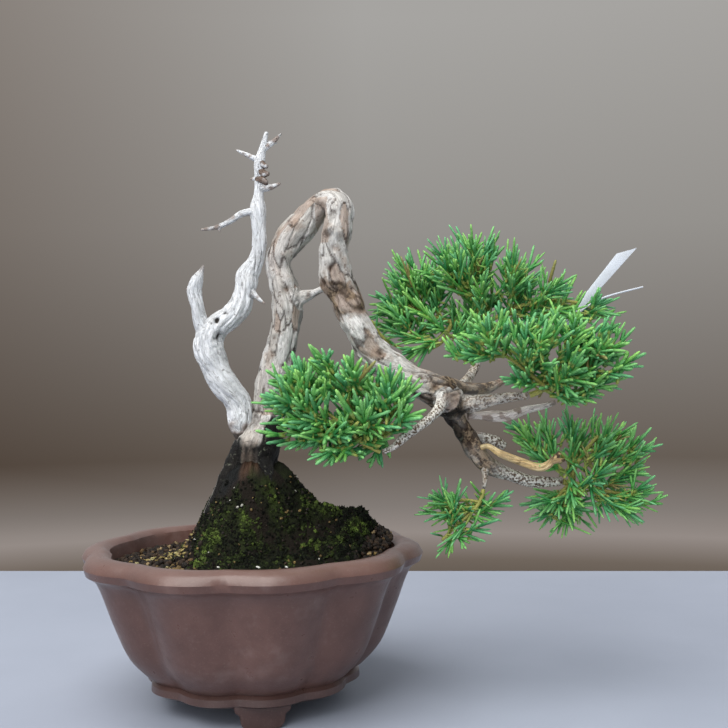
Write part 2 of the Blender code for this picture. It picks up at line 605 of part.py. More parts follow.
class Clearance:
    """Knows the stretches that a new twig or shoot has to stay clear of."""

    def __init__(self, stretches, air):
        self.air = air
        self.rows = numpy.zeros((0, 7))
        for stretch in stretches:
            self.add(*stretch)

    def add(self, start, end, radius):
        """Take one more stretch into account."""
        self.rows = numpy.vstack([self.rows, [*start, *(end - start), radius]])

    def free(self, start, end, radius, root_share=0.0):
        """True if the stretch, past its root, keeps its distance from all the known ones."""
        starts, spans, radii = self.rows[:, :3], self.rows[:, 3:6], self.rows[:, 6]
        lengths = numpy.maximum((spans ** 2).sum(1), 1e-9)
        for step in range(CLEAR_STEPS + 1):
            share = root_share + (1 - root_share) * step / CLEAR_STEPS
            point = numpy.array(start.lerp(end, share))
            along = numpy.clip(((point - starts) * spans).sum(1) / lengths, 0, 1)
            nearest = starts + spans * along[:, None]
            distance = numpy.sqrt(((point - nearest) ** 2).sum(1)) - radii
            if len(distance) and distance.min() < radius + self.air:
                return False
        return True


def cushion_targets(plan, dice):
    """Points spread evenly over the skins of the cushions, outside the other cushions."""
    cushions = plan["cushions"]
    weights = [c[3] * c[5] for c in cushions]
    targets = []
    for cushion, weight in zip(cushions, weights):
        count = math.ceil(plan["fill"] * weight / sum(weights) * 1.5)
        turn = dice.uniform(0, 2 * math.pi)
        for k in range(count):
            up = 1 - 2 * (k + 0.5) / count
            flat = math.sqrt(1 - up * up)
            angle = turn + GOLDEN_ANGLE * k
            share = dice.uniform(*CUSHION_SKIN)
            offset = (math.cos(angle) * flat * cushion[3], math.sin(angle) * flat * cushion[4], up * cushion[5])
            point = Vector(cushion[:3]) + Vector(offset) * share
            if not any(inside_cushion(point, other) for other in cushions if other is not cushion):
                targets.append(point)
    return targets


def inside_cushion(point, cushion):
    """True well inside a cushion."""
    parts = [(point[i] - cushion[i]) / cushion[i + 3] for i in range(3)]
    return sum(part * part for part in parts) < 0.6


class Twig:
    """A thin three-sided stem with a shoot at its tip and whorls of shoots behind it."""

    def __init__(self, root, end, bend, whorls):
        middle = root.lerp(end, 0.5) + bend
        shares = [0.0, BARE_SHARE] if whorls else [0.0]
        shares += [BARE_SHARE + (1 - BARE_SHARE) * (k + 1) / whorls for k in range(whorls)] or [1.0]
        self.rings = [root * (1 - t) ** 2 + middle * 2 * t * (1 - t) + end * t ** 2 for t in shares]
        self.whorls = whorls
        self.shoots = {}

    def stretches(self):
        """The twig's straight pieces."""
        return list(zip(self.rings, self.rings[1:]))

    def frame(self, k):
        """Direction of ring k, and the two directions across it."""
        rings = self.rings
        along = (rings[min(k + 1, len(rings) - 1)] - rings[max(k - 1, 0)]).normalized()
        normal = (UP - along * UP.dot(along)).normalized()
        return along, normal, along.cross(normal)

    def outward(self, k, side):
        """The way a shoot grows out of one side of the stretch after ring k."""
        along, normal, across = self.frame(k)
        angle = 2 * math.pi * (side + 0.5) / 3 + math.pi * (k % 2) / 3
        return along, normal * math.cos(angle) + across * math.sin(angle)

    def shape(self, radius):
        """Points and triangles of the twig, and the shoot that each triangle is part of."""
        points = []
        for k, centre in enumerate(self.rings):
            along, normal, across = self.frame(k)
            width = TWIG_RADIUS if k else ROOT_RADIUS
            for i in range(3):
                angle = 2 * math.pi * i / 3 + math.pi * (k % 2) / 3
                points.append(centre + (normal * math.cos(angle) + across * math.sin(angle)) * width)
        faces, owners = [(2, 1, 0)], [None]
        for k in range(len(self.rings) - 1):
            for i in range(3):
                n = (i + 1) % 3
                a, b = 3 * k, 3 * (k + 1)
                if k % 2:
                    base, rest = (a + i, a + n, b + n), (a + i, b + n, b + i)
                else:
                    base, rest = (a + i, a + n, b + i), (a + n, b + n, b + i)
                faces.append(rest)
                owners.append(None)
                if (k, i) not in self.shoots:
                    drawn = [base]
                elif k <= INNER_WHORLS:
                    drawn = spike(points, base, self.shoots[k, i][1])
                else:
                    drawn = draw_out(points, base, *self.shoots[k, i], radius)
                faces += drawn
                owners += [(k, i)] * len(drawn)
        last = 3 * (len(self.rings) - 1)
        faces += draw_out(points, (last, last + 1, last + 2), *self.tip, radius)
        owners += [None] * (len(faces) - len(owners))
        return points, faces, owners

    def untangle(self, radius):
        """Drop shoots until none passes through its neighbours or the twig."""
        while True:
            points, faces, owners = self.shape(radius)
            tangled = [owners[b] or owners[a] for a, b in crossings(points, faces)]
            tangled = [owner for owner in tangled if owner in self.shoots]
            if not tangled:
                return points, faces
            del self.shoots[max(tangled, key=tangled.count)]


def grow_twigs(plan, others, own):
    """Twigs from the stems to the outer tips and over the cushions."""
    dice = random.Random(plan["seed"])
    length, radius = plan["shoot_length"], plan["shoot_radius"]
    stems = [[Vector(row[:3]) for row in stem] for stem in plan["stems"]]
    root = stems[0][0]
    frame = []
    for stem in stems:
        for a, b in zip(stem, stem[1:]):
            frame += [a.lerp(b, share) for share in ROOT_SHARES]
    targets = [Vector(tip) + Vector((0, plan["fan"] * (k % 3 - 1), 0)) for k, tip in enumerate(plan["tips"])]
    targets += cushion_targets(plan, dice)
    targets.sort(key=lambda target: (target - root).length)
    twigs = []
    for target in targets:
        reachable = [p for p in frame if (target - p).length > length * SHORTEST_REACH]
        starts = sorted(reachable, key=lambda p: abs((target - p).length - TWIG_REACH * length)
                        + INWARD_PULL * (p - root).length)
        for origin in starts[:TRIES]:
            span = target - origin
            end = target - span.normalized() * length
            whorls = min(plan["whorls"], int((end - origin).length / WHORL_SPACING))
            bend = Vector((0, dice.uniform(-TWIG_SWING, TWIG_SWING), -TWIG_SAG)) * span.length
            twig = Twig(origin, end, bend, whorls)
            twig.tip = (end, target)
            clear = others.free(end, target, radius) and own.free(end, target, radius, SHOOT_ROOT_SHARE)
            for k, (a, b) in enumerate(twig.stretches()):
                clear = clear and others.free(a, b, TWIG_RADIUS)
                clear = clear and own.free(a, b, TWIG_RADIUS, 0.0 if k else TWIG_ROOT_SHARE)
            if clear:
                twigs.append(twig)
                frame.append(twig.rings[1])
                for a, b in twig.stretches():
                    own.add(a, b, TWIG_RADIUS)
                own.add(end, target, radius)
                break
    return twigs


def grow_shoots(plan, twigs, others, own):
    """Shoots in whorls round the outer part of each twig."""
    dice = random.Random(plan["seed"] + 100)
    length, radius = plan["shoot_length"], plan["shoot_radius"]
    for twig in twigs:
        for k in range(1, twig.whorls + 1):
            for side in range(3):
                along, outward = twig.outward(k, side)
                root = twig.rings[k].lerp(twig.rings[k + 1], 1 / 3)
                for _ in range(TRIES):
                    spread = math.radians(dice.uniform(*SHOOT_SPREAD))
                    drift = Vector([dice.uniform(-SHOOT_DRIFT, SHOOT_DRIFT) for _ in range(3)])
                    heading = along * math.cos(spread) + outward * math.sin(spread) + drift
                    tip = root + heading.normalized() * length * dice.uniform(*SHOOT_LENGTHS)
                    if others.free(root, tip, radius) and own.free(root, tip, radius, SHOOT_ROOT_SHARE):
                        twig.shoots[k, side] = (root, tip)
                        own.add(root, tip, radius)
                        break


def make_spray(name, plan, taken, material):
    """One bunch of foliage, fused from its stems and leafy twigs."""
    others = Clearance(taken, CLEAR_AIR)
    own = Clearance(capsules(plan["stems"]), OWN_AIR)
    twigs = grow_twigs(plan, others, own)
    grow_shoots(plan, twigs, others, own)
    bole = new_object(name, tube(plan["stems"][0], 4), material)
    parts = [new_object("stem", tube(stem, 3)) for stem in plan["stems"][1:]]
    parts += [new_object("twig", twig.untangle(plan["shoot_radius"])) for twig in twigs]
    fuse(bole, parts)
    taken += [(Vector(row[:3]), Vector(row[:3]) + Vector(row[3:6]), row[6]) for row in own.rows.tolist()]
    return bole


def make_tag(material):
    """The blank label with its tie."""
    strip = extruded(TAG_OUTLINE, TAG_Y - TAG_THICK / 2, TAG_Y + TAG_THICK / 2, lambda x, z, y: (x, y, z))
    tag = new_object("plant_tag", strip, material)
    return fuse(tag, [new_object("tie", tube(TAG_TIE, 4))])


def set_origin():
    """Move the origin to the middle of the base of everything, in metres."""
    pieces = [piece for piece in bpy.data.objects if piece.type == "MESH"]
    corners = [vertex.co for piece in pieces for vertex in piece.data.vertices]
    low = [min(c[i] for c in corners) for i in range(3)]
    high = [max(c[i] for c in corners) for i in range(3)]
    middle = Vector(((low[0] + high[0]) / 2, (low[1] + high[1]) / 2, low[2]))
    for piece in pieces:
        for vertex in piece.data.vertices:
            vertex.co = (vertex.co - middle) * MM
        piece.data.update()


def build():
    for piece in list(bpy.data.objects):
        bpy.data.objects.remove(piece)
    clay = new_material("stoneware", (0.12, 0.072, 0.06), 0.5)
    plastic = new_material("net_plastic", (0.02, 0.02, 0.02), 0.5)
    earth = new_material("soil", (0.03, 0.022, 0.015), 0.95)
    moss = new_material("moss", (0.04, 0.07, 0.015), 0.95)
    bark = new_material("bark", (0.36, 0.27, 0.2), 0.8)
    bleached = new_material("bleached_wood", (0.75, 0.74, 0.72), 0.75)
    ochre = new_material("peeled_wood", (0.6, 0.4, 0.2), 0.7)
    green = new_material("foliage", (0.06, 0.26, 0.07), 0.55)
    label = new_material("label", (0.85, 0.86, 0.88), 0.5)
    make_pot(clay)
    make_drain_mesh(plastic)
    make_soil(earth)
    make_moss(moss)
    limbs = [INNER_STUB, DARK_STUB, TOP_BRANCH, BACK_BRANCH, RIGHT_BRANCH, LOWER_BRANCH, FRONT_BRANCH,
             HANGING_TWIG, KNOB]
    make_wood("live_trunk", TRUNK, limbs, 10, 0.07, bark)
    make_wood("deadwood", DEADWOOD, DEADWOOD_LIMBS, 8, 0.1, bleached)
    make_wood("jin_pale", PALE_JIN, [], 7, 0.1, bleached)
    make_wood("jin_tan", TAN_JIN, [TAN_JIN_STUB], 7, 0.08, ochre)
    make_tag(label)
    wood = [TRUNK, *limbs, DEADWOOD, *DEADWOOD_LIMBS, PALE_JIN, TAN_JIN, TAN_JIN_STUB]
    taken = capsules(wood)
    taken += capsules([[(x, TAG_Y, z, width) for x, z, width in TAG_MIDLINE], TAG_TIE])
    for name, plan in SPRAYS.items():
        make_spray(name, plan, taken, green)
    set_origin()


build()
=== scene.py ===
"""The finished look of a small shimpaku juniper with bleached deadwood, in a lobed stoneware pot.

Tables and shapes are in millimetres round the pot's axis, with the table at Z 0 and the viewer at
-Y. A finished piece is then turned into metres and moved to where the frame has the pot.
"""
import math
import random

import bpy
import bmesh
import numpy
from mathutils import Matrix, Vector, noise
from mathutils.kdtree import KDTree


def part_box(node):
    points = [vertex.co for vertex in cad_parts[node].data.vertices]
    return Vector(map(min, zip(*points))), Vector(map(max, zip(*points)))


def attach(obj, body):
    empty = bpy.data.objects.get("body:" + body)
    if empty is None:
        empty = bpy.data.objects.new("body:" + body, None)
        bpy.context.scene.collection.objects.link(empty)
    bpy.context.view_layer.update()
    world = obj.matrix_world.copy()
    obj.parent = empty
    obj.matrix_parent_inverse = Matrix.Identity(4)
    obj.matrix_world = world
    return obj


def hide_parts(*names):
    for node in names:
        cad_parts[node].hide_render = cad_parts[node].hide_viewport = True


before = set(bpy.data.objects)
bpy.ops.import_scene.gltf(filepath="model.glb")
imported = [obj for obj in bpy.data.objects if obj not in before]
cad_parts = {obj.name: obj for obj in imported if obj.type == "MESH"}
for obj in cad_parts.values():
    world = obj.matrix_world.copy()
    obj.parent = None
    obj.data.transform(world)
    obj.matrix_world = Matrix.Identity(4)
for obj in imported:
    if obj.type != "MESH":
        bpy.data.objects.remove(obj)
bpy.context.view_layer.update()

MM = 0.001
UP = Vector((0, 0, 1))
POT_LOW, POT_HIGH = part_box("pot")
POT_CENTRE = Vector(((POT_LOW.x + POT_HIGH.x) / 2, (POT_LOW.y + POT_HIGH.y) / 2, POT_LOW.z))
INTO_FRAME = Matrix.Translation(POT_CENTRE) @ Matrix.Scale(MM, 4)

# Camera: place, focal length, pitch up and roll
CAMERA_PLACE = (40.2, -360.0, 113.7)
CAMERA_LENS = 1010 / 728 * 36
CAMERA_PITCH = math.radians(0.68)
CAMERA_ROLL = math.radians(0.64)

# Light, and the room's colours from below the table's edge to far above it
LIGHT_GOAL = Vector((0, 0, 0.09))
ROOM_LIGHT = 0.54
ROOM_COLORS = [
    (0.0, "5F564D"), (0.04, "70665D"), (0.085, "948B86"), (0.13, "827B76"), (0.22, "665D55"),
    (0.42, "7F7A75"), (0.62, "94918D"), (0.97, "A6A4A1"),
]

# Table top: two points on its far edge
TABLE_EDGE = ((-177.9, 242.9), (246.8, 218.3))
TABLE_REACH = 1500.0
TABLE_FRONT = -1400.0
TABLE_THICK = 25.0

# Pot: radius, height and lobe depth from the drain hole, under the foot plate, up the outside,
# over the lip and down the inside
LOBES = 10
LOBE_TURN = math.radians(-92)
LOBE_SOFTNESS = 0.006
POT_STEPS = 160
POT_OUTLINE = [
    (7.0, 7.3, 0.0), (35.6, 7.3, 2.0), (37.4, 8.2, 2.4), (37.2, 10.4, 2.4),
    (36.0, 11.5, 2.4), (38.6, 13.2, 2.8), (45.2, 20.4, 3.8), (50.4, 32.0, 4.4),
    (54.6, 43.5, 4.4), (56.8, 47.4, 3.9), (59.4, 49.0, 3.6), (60.2, 51.4, 3.5),
    (59.0, 53.6, 3.1), (55.6, 55.1, 2.6), (52.4, 55.0, 2.1), (50.3, 53.6, 1.8),
    (49.4, 49.0, 1.6), (46.0, 32.0, 1.2), (40.0, 20.0, 0.8), (31.0, 14.2, 0.4),
    (7.0, 13.2, 0.0),
]

# Where the paler lip, worn and with painted light from above, and the darker foot of the pot fade in
LIP_HEIGHTS, LIP_RADII, FOOT_HEIGHTS = (51.5, 54.6), (49.0, 52.0), (9.0, 14.0)

# Feet: number, turn of the first one, place and outline as across and height
FEET = 3
FOOT_TURN = math.radians(-79)
FOOT_RADIUS = 29.5
FOOT_THICK = 8.5
FOOT_OUTLINE = [
    (-9.6, 8.4), (-9.0, 5.6), (-7.4, 4.6), (-7.2, 2.0), (-5.8, 0.0),
    (5.8, 0.0), (7.2, 2.0), (7.4, 4.6), (9.0, 5.6), (9.6, 8.4),
]

# Ground, with hills as x, y, rise, spread and steepness
SOIL_BASE_Z = 49.0
HILLS = [(0.0, 0.0, 31.5, 19.2, 1.5), (31.0, 3.0, 15.0, 22.0, 1.1), (-4.0, -16.0, 5.0, 14.0, 1.0)]
SOIL_UNDER_MOSS = 1.6
PLUG_X = 0.6
PLUG_HOLE = 9.6
SHORE_RADIUS = 48.5

# How many of each are thrown; those that land in the wrong place are left out
MOSS_TUFTS = 15000
EDGE_GRAINS = 2600
MOSS_CRUMBS = 420
DRY_NEEDLES = 70

# Wood: size of the remeshed faces in mm, and how far the grain turns in each mm, in radians
BARK_FINENESS, DEAD_FINENESS, JIN_FINENESS = 0.44, 0.27, 0.2
BARK_TWIST, DEAD_TWIST, JIN_TWIST = 0.03, 0.045, 0.1

# Centre lines as x, y, z and radius
TRUNK = [
    (0.6, 0, 37.3, 6.0), (0.6, 0, 44, 7.4), (0.6, 0, 62, 8.6), (0.6, 0, 72, 8.7),
    (0.7, 0, 79, 8.6), (0.9, 0, 84, 8.1), (1.8, 0, 88.1, 8.0), (3.5, 1, 92, 7.5),
    (5.2, 2, 96, 6.5), (5.5, 3, 101, 5.6), (6.3, 3, 107, 5.6), (7.6, 3, 112.6, 5.6),
    (9.3, 3, 118.4, 5.7), (10.6, 3, 124.5, 5.6), (11.7, 3, 130.2, 5.4), (12.9, 3, 136.7, 5.6),
    (12.6, 3, 142.4, 5.4), (11.4, 3, 148.2, 5.0), (10.4, 3, 153.6, 4.5), (11, 3, 158, 4.8),
    (13.2, 3, 162.2, 5.4), (16.6, 3, 166.5, 5.4), (20.6, 3, 170.6, 5.0), (24.7, 2.5, 174.8, 4.5),
    (28.7, 0, 176.7, 4.3), (32, -3, 174, 4.6), (32.3, -5, 169, 4.8), (31.2, -6, 164, 5.3),
    (30.3, -6, 159, 4.9), (30.4, -6, 150.6, 5.4), (31.4, -6, 146.4, 5.6), (33.3, -6, 142.5, 5.1),
    (35.2, -6, 138, 5.2), (37, -6, 133.4, 4.9), (41.3, -6, 124.6, 5.2), (44.4, -6, 120.7, 5.4),
    (49.3, -6, 116.9, 5.1), (54.1, -7, 113.5, 5.0), (64.5, -8, 108.2, 5.2), (69.3, -8, 104.7, 5.6),
    (72.1, -8, 101.8, 4.2),
]
INNER_STUB = [(13.8, 3, 139.9, 3.2), (18.6, 2, 142.3, 2.2), (22.7, -1, 143.4, 1.4), (26.4, -4, 144.9, 1.1)]
DARK_STUB = [(6.4, 1, 94.1, 2.9), (10.8, 4, 96.7, 2.2), (14.2, 7, 98.7, 1.4)]
TOP_BRANCH = [
    (63.9, -6, 110.3, 2.8), (69, -4, 110.6, 2.3), (74.3, 0, 109.4, 2.1), (80, 3, 108.6, 2.1),
    (85.6, 5, 109.2, 1.8), (91.7, 7, 111.8, 0.9),
]
BACK_BRANCH = [(74, 0, 109.5, 1.8), (78.6, 6, 113.3, 1.6), (81.8, 12, 118.4, 1.5), (84.3, 17, 124.8, 1.2)]
RIGHT_BRANCH = [
    (69.3, -8, 104.7, 3.5), (74.8, -9, 103.4, 3.0), (80.8, -11, 104.6, 2.3), (88.8, -13, 105.8, 1.7),
    (96.1, -15, 106.4, 1.3),
]
LOWER_BRANCH = [
    (70.1, -7, 103.2, 4.2), (73, -5, 97.2, 3.5), (76.3, -3, 92.5, 3.4), (78.8, -2, 87.4, 3.4),
    (82.8, -1, 82.3, 3.0), (87.5, 0, 79.7, 2.5), (92.4, 0, 77.7, 2.3), (98.8, 0, 75.7, 2.1),
    (104.5, 0, 75.2, 1.8), (110.2, 0, 75.2, 1.2),
]
FRONT_BRANCH = [
    (69.9, -10, 105.7, 3.1), (67.3, -14, 105.2, 2.2), (65.1, -18, 101.9, 1.7), (61.4, -22, 98.7, 1.4),
    (56.5, -26, 95.7, 1.4), (52.7, -28, 93.2, 1.4), (50, -29, 90.7, 1.1), (46.1, -30, 88.8, 0.9),
]
HANGING_TWIG = [(82.3, -2, 81.4, 1.4), (82.2, -5, 77.4, 0.9), (81.4, -7, 74.2, 0.8)]
KNOB = [(79.3, 2, 91.8, 1.8), (83.5, 4, 90.9, 1.8), (87.9, 5, 89.3, 2.2), (90.8, 5, 87.5, 1.4)]
SURFACE_ROOTS = [
    [(-3.0, -2.5, 88, 3.6), (-6.6, -4.5, 81, 3.4), (-10.2, -6.5, 74, 2.8), (-14.4, -9, 66, 1.8)],
    [(3.5, -3.5, 86, 3.4), (5.5, -7.5, 79, 3.0), (7.5, -11.5, 72, 2.0)],
    [(5, 1, 84, 3.0), (9.6, 2, 77, 2.4), (14.5, 3, 70, 1.4)],
    [(-1, 4, 85, 3.4), (-3, 9, 77, 2.6), (-6, 14, 69, 1.6)],
]
LIVE_LIMBS = [INNER_STUB, DARK_STUB, TOP_BRANCH, BACK_BRANCH, RIGHT_BRANCH, LOWER_BRANCH, FRONT_BRANCH,
              HANGING_TWIG, KNOB]

# Numbers of the living wood's limbs: the trunk, then LIVE_LIMBS, then SURFACE_ROOTS
TRUNK_NUMBER, TOP_NUMBER, LOWER_NUMBER, LEFT_ROOT_NUMBER = 0, 3, 6, 10
SCALY_LIMBS = (7, 9)
HALF_SCALY_LIMBS = (4, 5, 8)
ROUGH_LIMBS = (0, 3, 4, 5, 6, 8)

PALE_JIN = [
    (76.5, -5.4, 99.2, 1.2), (79.8, -4.8, 99.4, 1.1), (85.2, -5, 99.2, 1.7), (90.8, -6, 99.4, 1.6),
    (96.8, -6, 101.2, 1.3), (102.7, -6, 102.3, 0.9), (107, -6, 103.7, 0.8),
]
TAN_JIN = [
    (81.3, -4.5, 88.1, 1.1), (83.5, -6.6, 88.6, 1.0), (87.5, -8, 86, 1.4), (94.5, -8, 83.2, 1.5),
    (100.4, -8, 81.2, 1.5), (104.2, -8, 82.3, 1.4), (108.1, -8, 86.5, 0.8),
]
TAN_JIN_STUB = [(105, -8, 83, 1.0), (107.3, -10, 83.7, 0.9), (108.7, -12, 84, 0.7)]

DEADWOOD = [
    (-5.6, 0.5, 95.6, 1.3), (-4.9, 1, 98.2, 2.9), (-4.2, 1.5, 101.6, 4.3), (-6.1, 1, 106.4, 4.6),
    (-9.8, 0, 111.8, 4.6), (-12.8, 0, 117.1, 4.6), (-14.7, 0, 122.9, 5.1), (-14.6, 0, 127.9, 5.2),
    (-11.4, 0, 132.5, 4.3), (-7.1, 0.5, 135.7, 4.0), (-3.6, 1, 140.3, 3.7), (-1.9, 1.5, 145.7, 3.7),
    (-1.1, 2, 150, 3.4), (1.1, 2, 154, 2.7), (2.4, 2, 157.5, 2.4), (3.0, 2, 161.8, 2.5),
    (3.0, 2, 168.7, 2.5), (2.8, 2, 174.4, 2.5), (3, 2, 179.1, 1.7), (3.4, 2, 184.5, 1.6),
    (3.5, 2, 190.3, 1.8), (4.6, 2, 195.7, 1.2), (6.2, 2, 201.8, 0.7),
]
DEADWOOD_LIMBS = [
    [(-15, 0, 127.9, 3.2), (-17.6, -1, 133.5, 2.5), (-18.6, -2, 139.2, 2.2), (-19.5, -2, 144.5, 2.5),
     (-18.5, -3, 148.2, 1.9), (-17.2, -3, 151.2, 1.0), (-16.2, -3, 153.6, 0.4)],
    [(2, 2, 173.4, 1.4), (-3.2, 1, 172.2, 1.1), (-6.4, 0, 169.9, 1.0), (-11.6, -1, 167.3, 0.8),
     (-17.3, -2, 166.2, 0.4)],
    [(3.2, 2, 181.6, 1.4), (6.9, 1, 181.6, 1.1), (11.1, 0, 182.8, 0.4)],
    [(4.4, 2, 195.3, 1.1), (8.3, 3, 198.4, 0.9), (11.4, 4, 201.7, 0.3)],
    [(7.2, 3, 197.7, 0.6), (9.6, 5, 198.5, 0.3)],
    [(2.9, 2, 191.7, 1.1), (-1.5, 3, 194, 0.8), (-5.2, 4, 196, 0.3)],
    [(3.9, 1.6, 190.6, 1.3), (5.2, 0.8, 189.4, 1.0), (6.6, 0.4, 188.9, 0.6)],
    [(3.7, 1.6, 187.4, 1.4), (5.4, 0.6, 186.4, 1.1), (7.1, 0, 186.3, 0.6)],
    [(3.3, 1.4, 184.6, 1.3), (5.0, 0.4, 184.0, 1.0), (6.2, 0, 182.9, 0.7)],
    [(-0.5, 0, 145.5, 1.4), (2.4, -1, 142.2, 0.8), (5.3, -2, 139.6, 0.3)],
    [(1.5, 2, 155.8, 1.1), (-0.8, 2, 156.9, 0.4)],
    [(-19.1, -2, 144.9, 1.2), (-22.7, -2, 145.3, 0.4)],
    [(-19.4, -2.4, 146.6, 1.2), (-19.9, -2.6, 149.6, 0.4)],
    [(-11.0, -1, 167.4, 0.7), (-10.6, -1.2, 165.4, 0.3)],
    [(2.5, 2, 185.2, 0.9), (0, 2, 184.7, 0.3)],
]

# Numbers of the deadwood's limbs that are knobs, and of the snapped limb
DEAD_KNOBS = (7, 8, 9)
SNAPPED_LIMB = 1

# Where the bleached wood runs down into the live trunk, in place of its first three rows
DEADWOOD_FOOT = [
    (-4.4, -2.4, 90.6, 0.4), (-4.3, -2.0, 93.2, 1.8), (-4.2, -1.0, 96.4, 3.2), (-4.2, 0.0, 99.8, 3.9),
    (-4.9, 0.9, 103.4, 4.3),
]

# Hollows (depth above 0) and knots (below 0) of the wood: x, y, z, width, depth
LIVE_MARKS = [
    (26.8, -9, 146.2, 1.5, 1.4), (26.8, -9, 146.2, 3.2, -0.9), (8.8, -2.5, 129.6, 2.6, -1.0),
    (9.4, -3.0, 131.0, 1.4, 1.3), (8.6, -2.6, 127.8, 0.9, 0.9), (27.4, -10.6, 162.4, 1.3, 1.1),
    (30.2, -11.4, 158.4, 0.9, 0.8), (28.4, -11.2, 151.0, 1.1, 0.9), (26.6, -8, 174, 1.4, 0.9),
    (26.5, -9.5, 170.5, 1.6, 1.1), (26.4, -10.5, 167, 1.3, 0.8), (28.5, -11.5, 164.8, 1.4, -1.3),
    (31.5, -11.5, 163.4, 1.4, -1.2), (69.4, -13.5, 101.6, 2.2, -0.8), (68.8, -12.8, 98.4, 1.7, 1.5),
    (57.4, -12, 114.9, 0.9, 1.0), (59.8, -12, 113.1, 0.8, 0.9), (64.6, -13, 110, 1.0, 1.0),
    (38, -11, 130, 2.2, -0.7), (46, -11, 121.5, 1.2, 0.7),
    (9.5, -2.5, 116, 2.0, -0.6), (13, -2.5, 145, 1.2, 0.6), (18, -2.5, 168, 1.6, -0.6),
]
DEAD_MARKS = [
    (-10.4, -4.8, 127.8, 2.0, 1.7), (-10.0, -4.8, 124.0, 1.4, 1.3), (-8.8, -4.2, 137.4, 1.5, 1.5),
    (-11.4, -4.4, 134.0, 1.2, 1.2), (-14.8, -4.0, 137.0, 1.6, 1.5), (-13.6, -4.8, 133.0, 0.9, 0.9),
    (-8.2, -4.6, 105.6, 0.8, 0.7), (-9.6, -4.8, 108.4, 0.5, 0.5), (1.2, -0.8, 171.4, 0.6, 0.6),
    (-2.2, -4.0, 101.0, 0.7, 0.8), (-6.6, -4.2, 98.6, 0.9, 0.9), (-4.2, -4.2, 112.0, 0.6, 0.6),
    (1.0, -1.0, 163.2, 0.5, 0.5), (-3.4, -3.4, 146.0, 0.7, 0.6),
]

# Foliage: stems, outer shoot tips and cushions whose skins carry more twigs
TWIG_RADIUS = 0.6
ROOT_SHARES = (0.2, 0.4, 0.6, 0.8)
TWIG_REACH = 2.6
SHORTEST_REACH = 1.1
INWARD_PULL = 0.2
BARE_SHARE = 0.3
TWIG_SWING = 0.2
TWIG_SAG = 0.1
WHORL_SPACING = 3.0
SHOOT_SPREAD = (34, 60)
SHOOT_DRIFT = 0.25
SHOOT_LENGTHS = (0.75, 1.1)
TWIG_ROOT_SHARE = 0.8
SHOOT_ROOT_SHARE = 0.35
CUSHION_SKIN = (0.78, 1.0)
CLEAR_AIR = 0.35
OWN_AIR = 0.12
SHOOT_LEAN = (0.75, 0.4, 0.25)   # shares of a shoot's own way, its twig's and the way out of the bunch
LOOSE_LEAN = (0.8, 0.6, 0.35)   # of the way off its twig, out of the bunch, and up
CORD_STRETCH = (1.0, 1.6)
CLEAR_STEPS = 6
CORD_LENGTH = 8.0
DRY_SHARE = 0.006
TRIES = 12
GOLDEN_ANGLE = math.pi * (3 - math.sqrt(5))
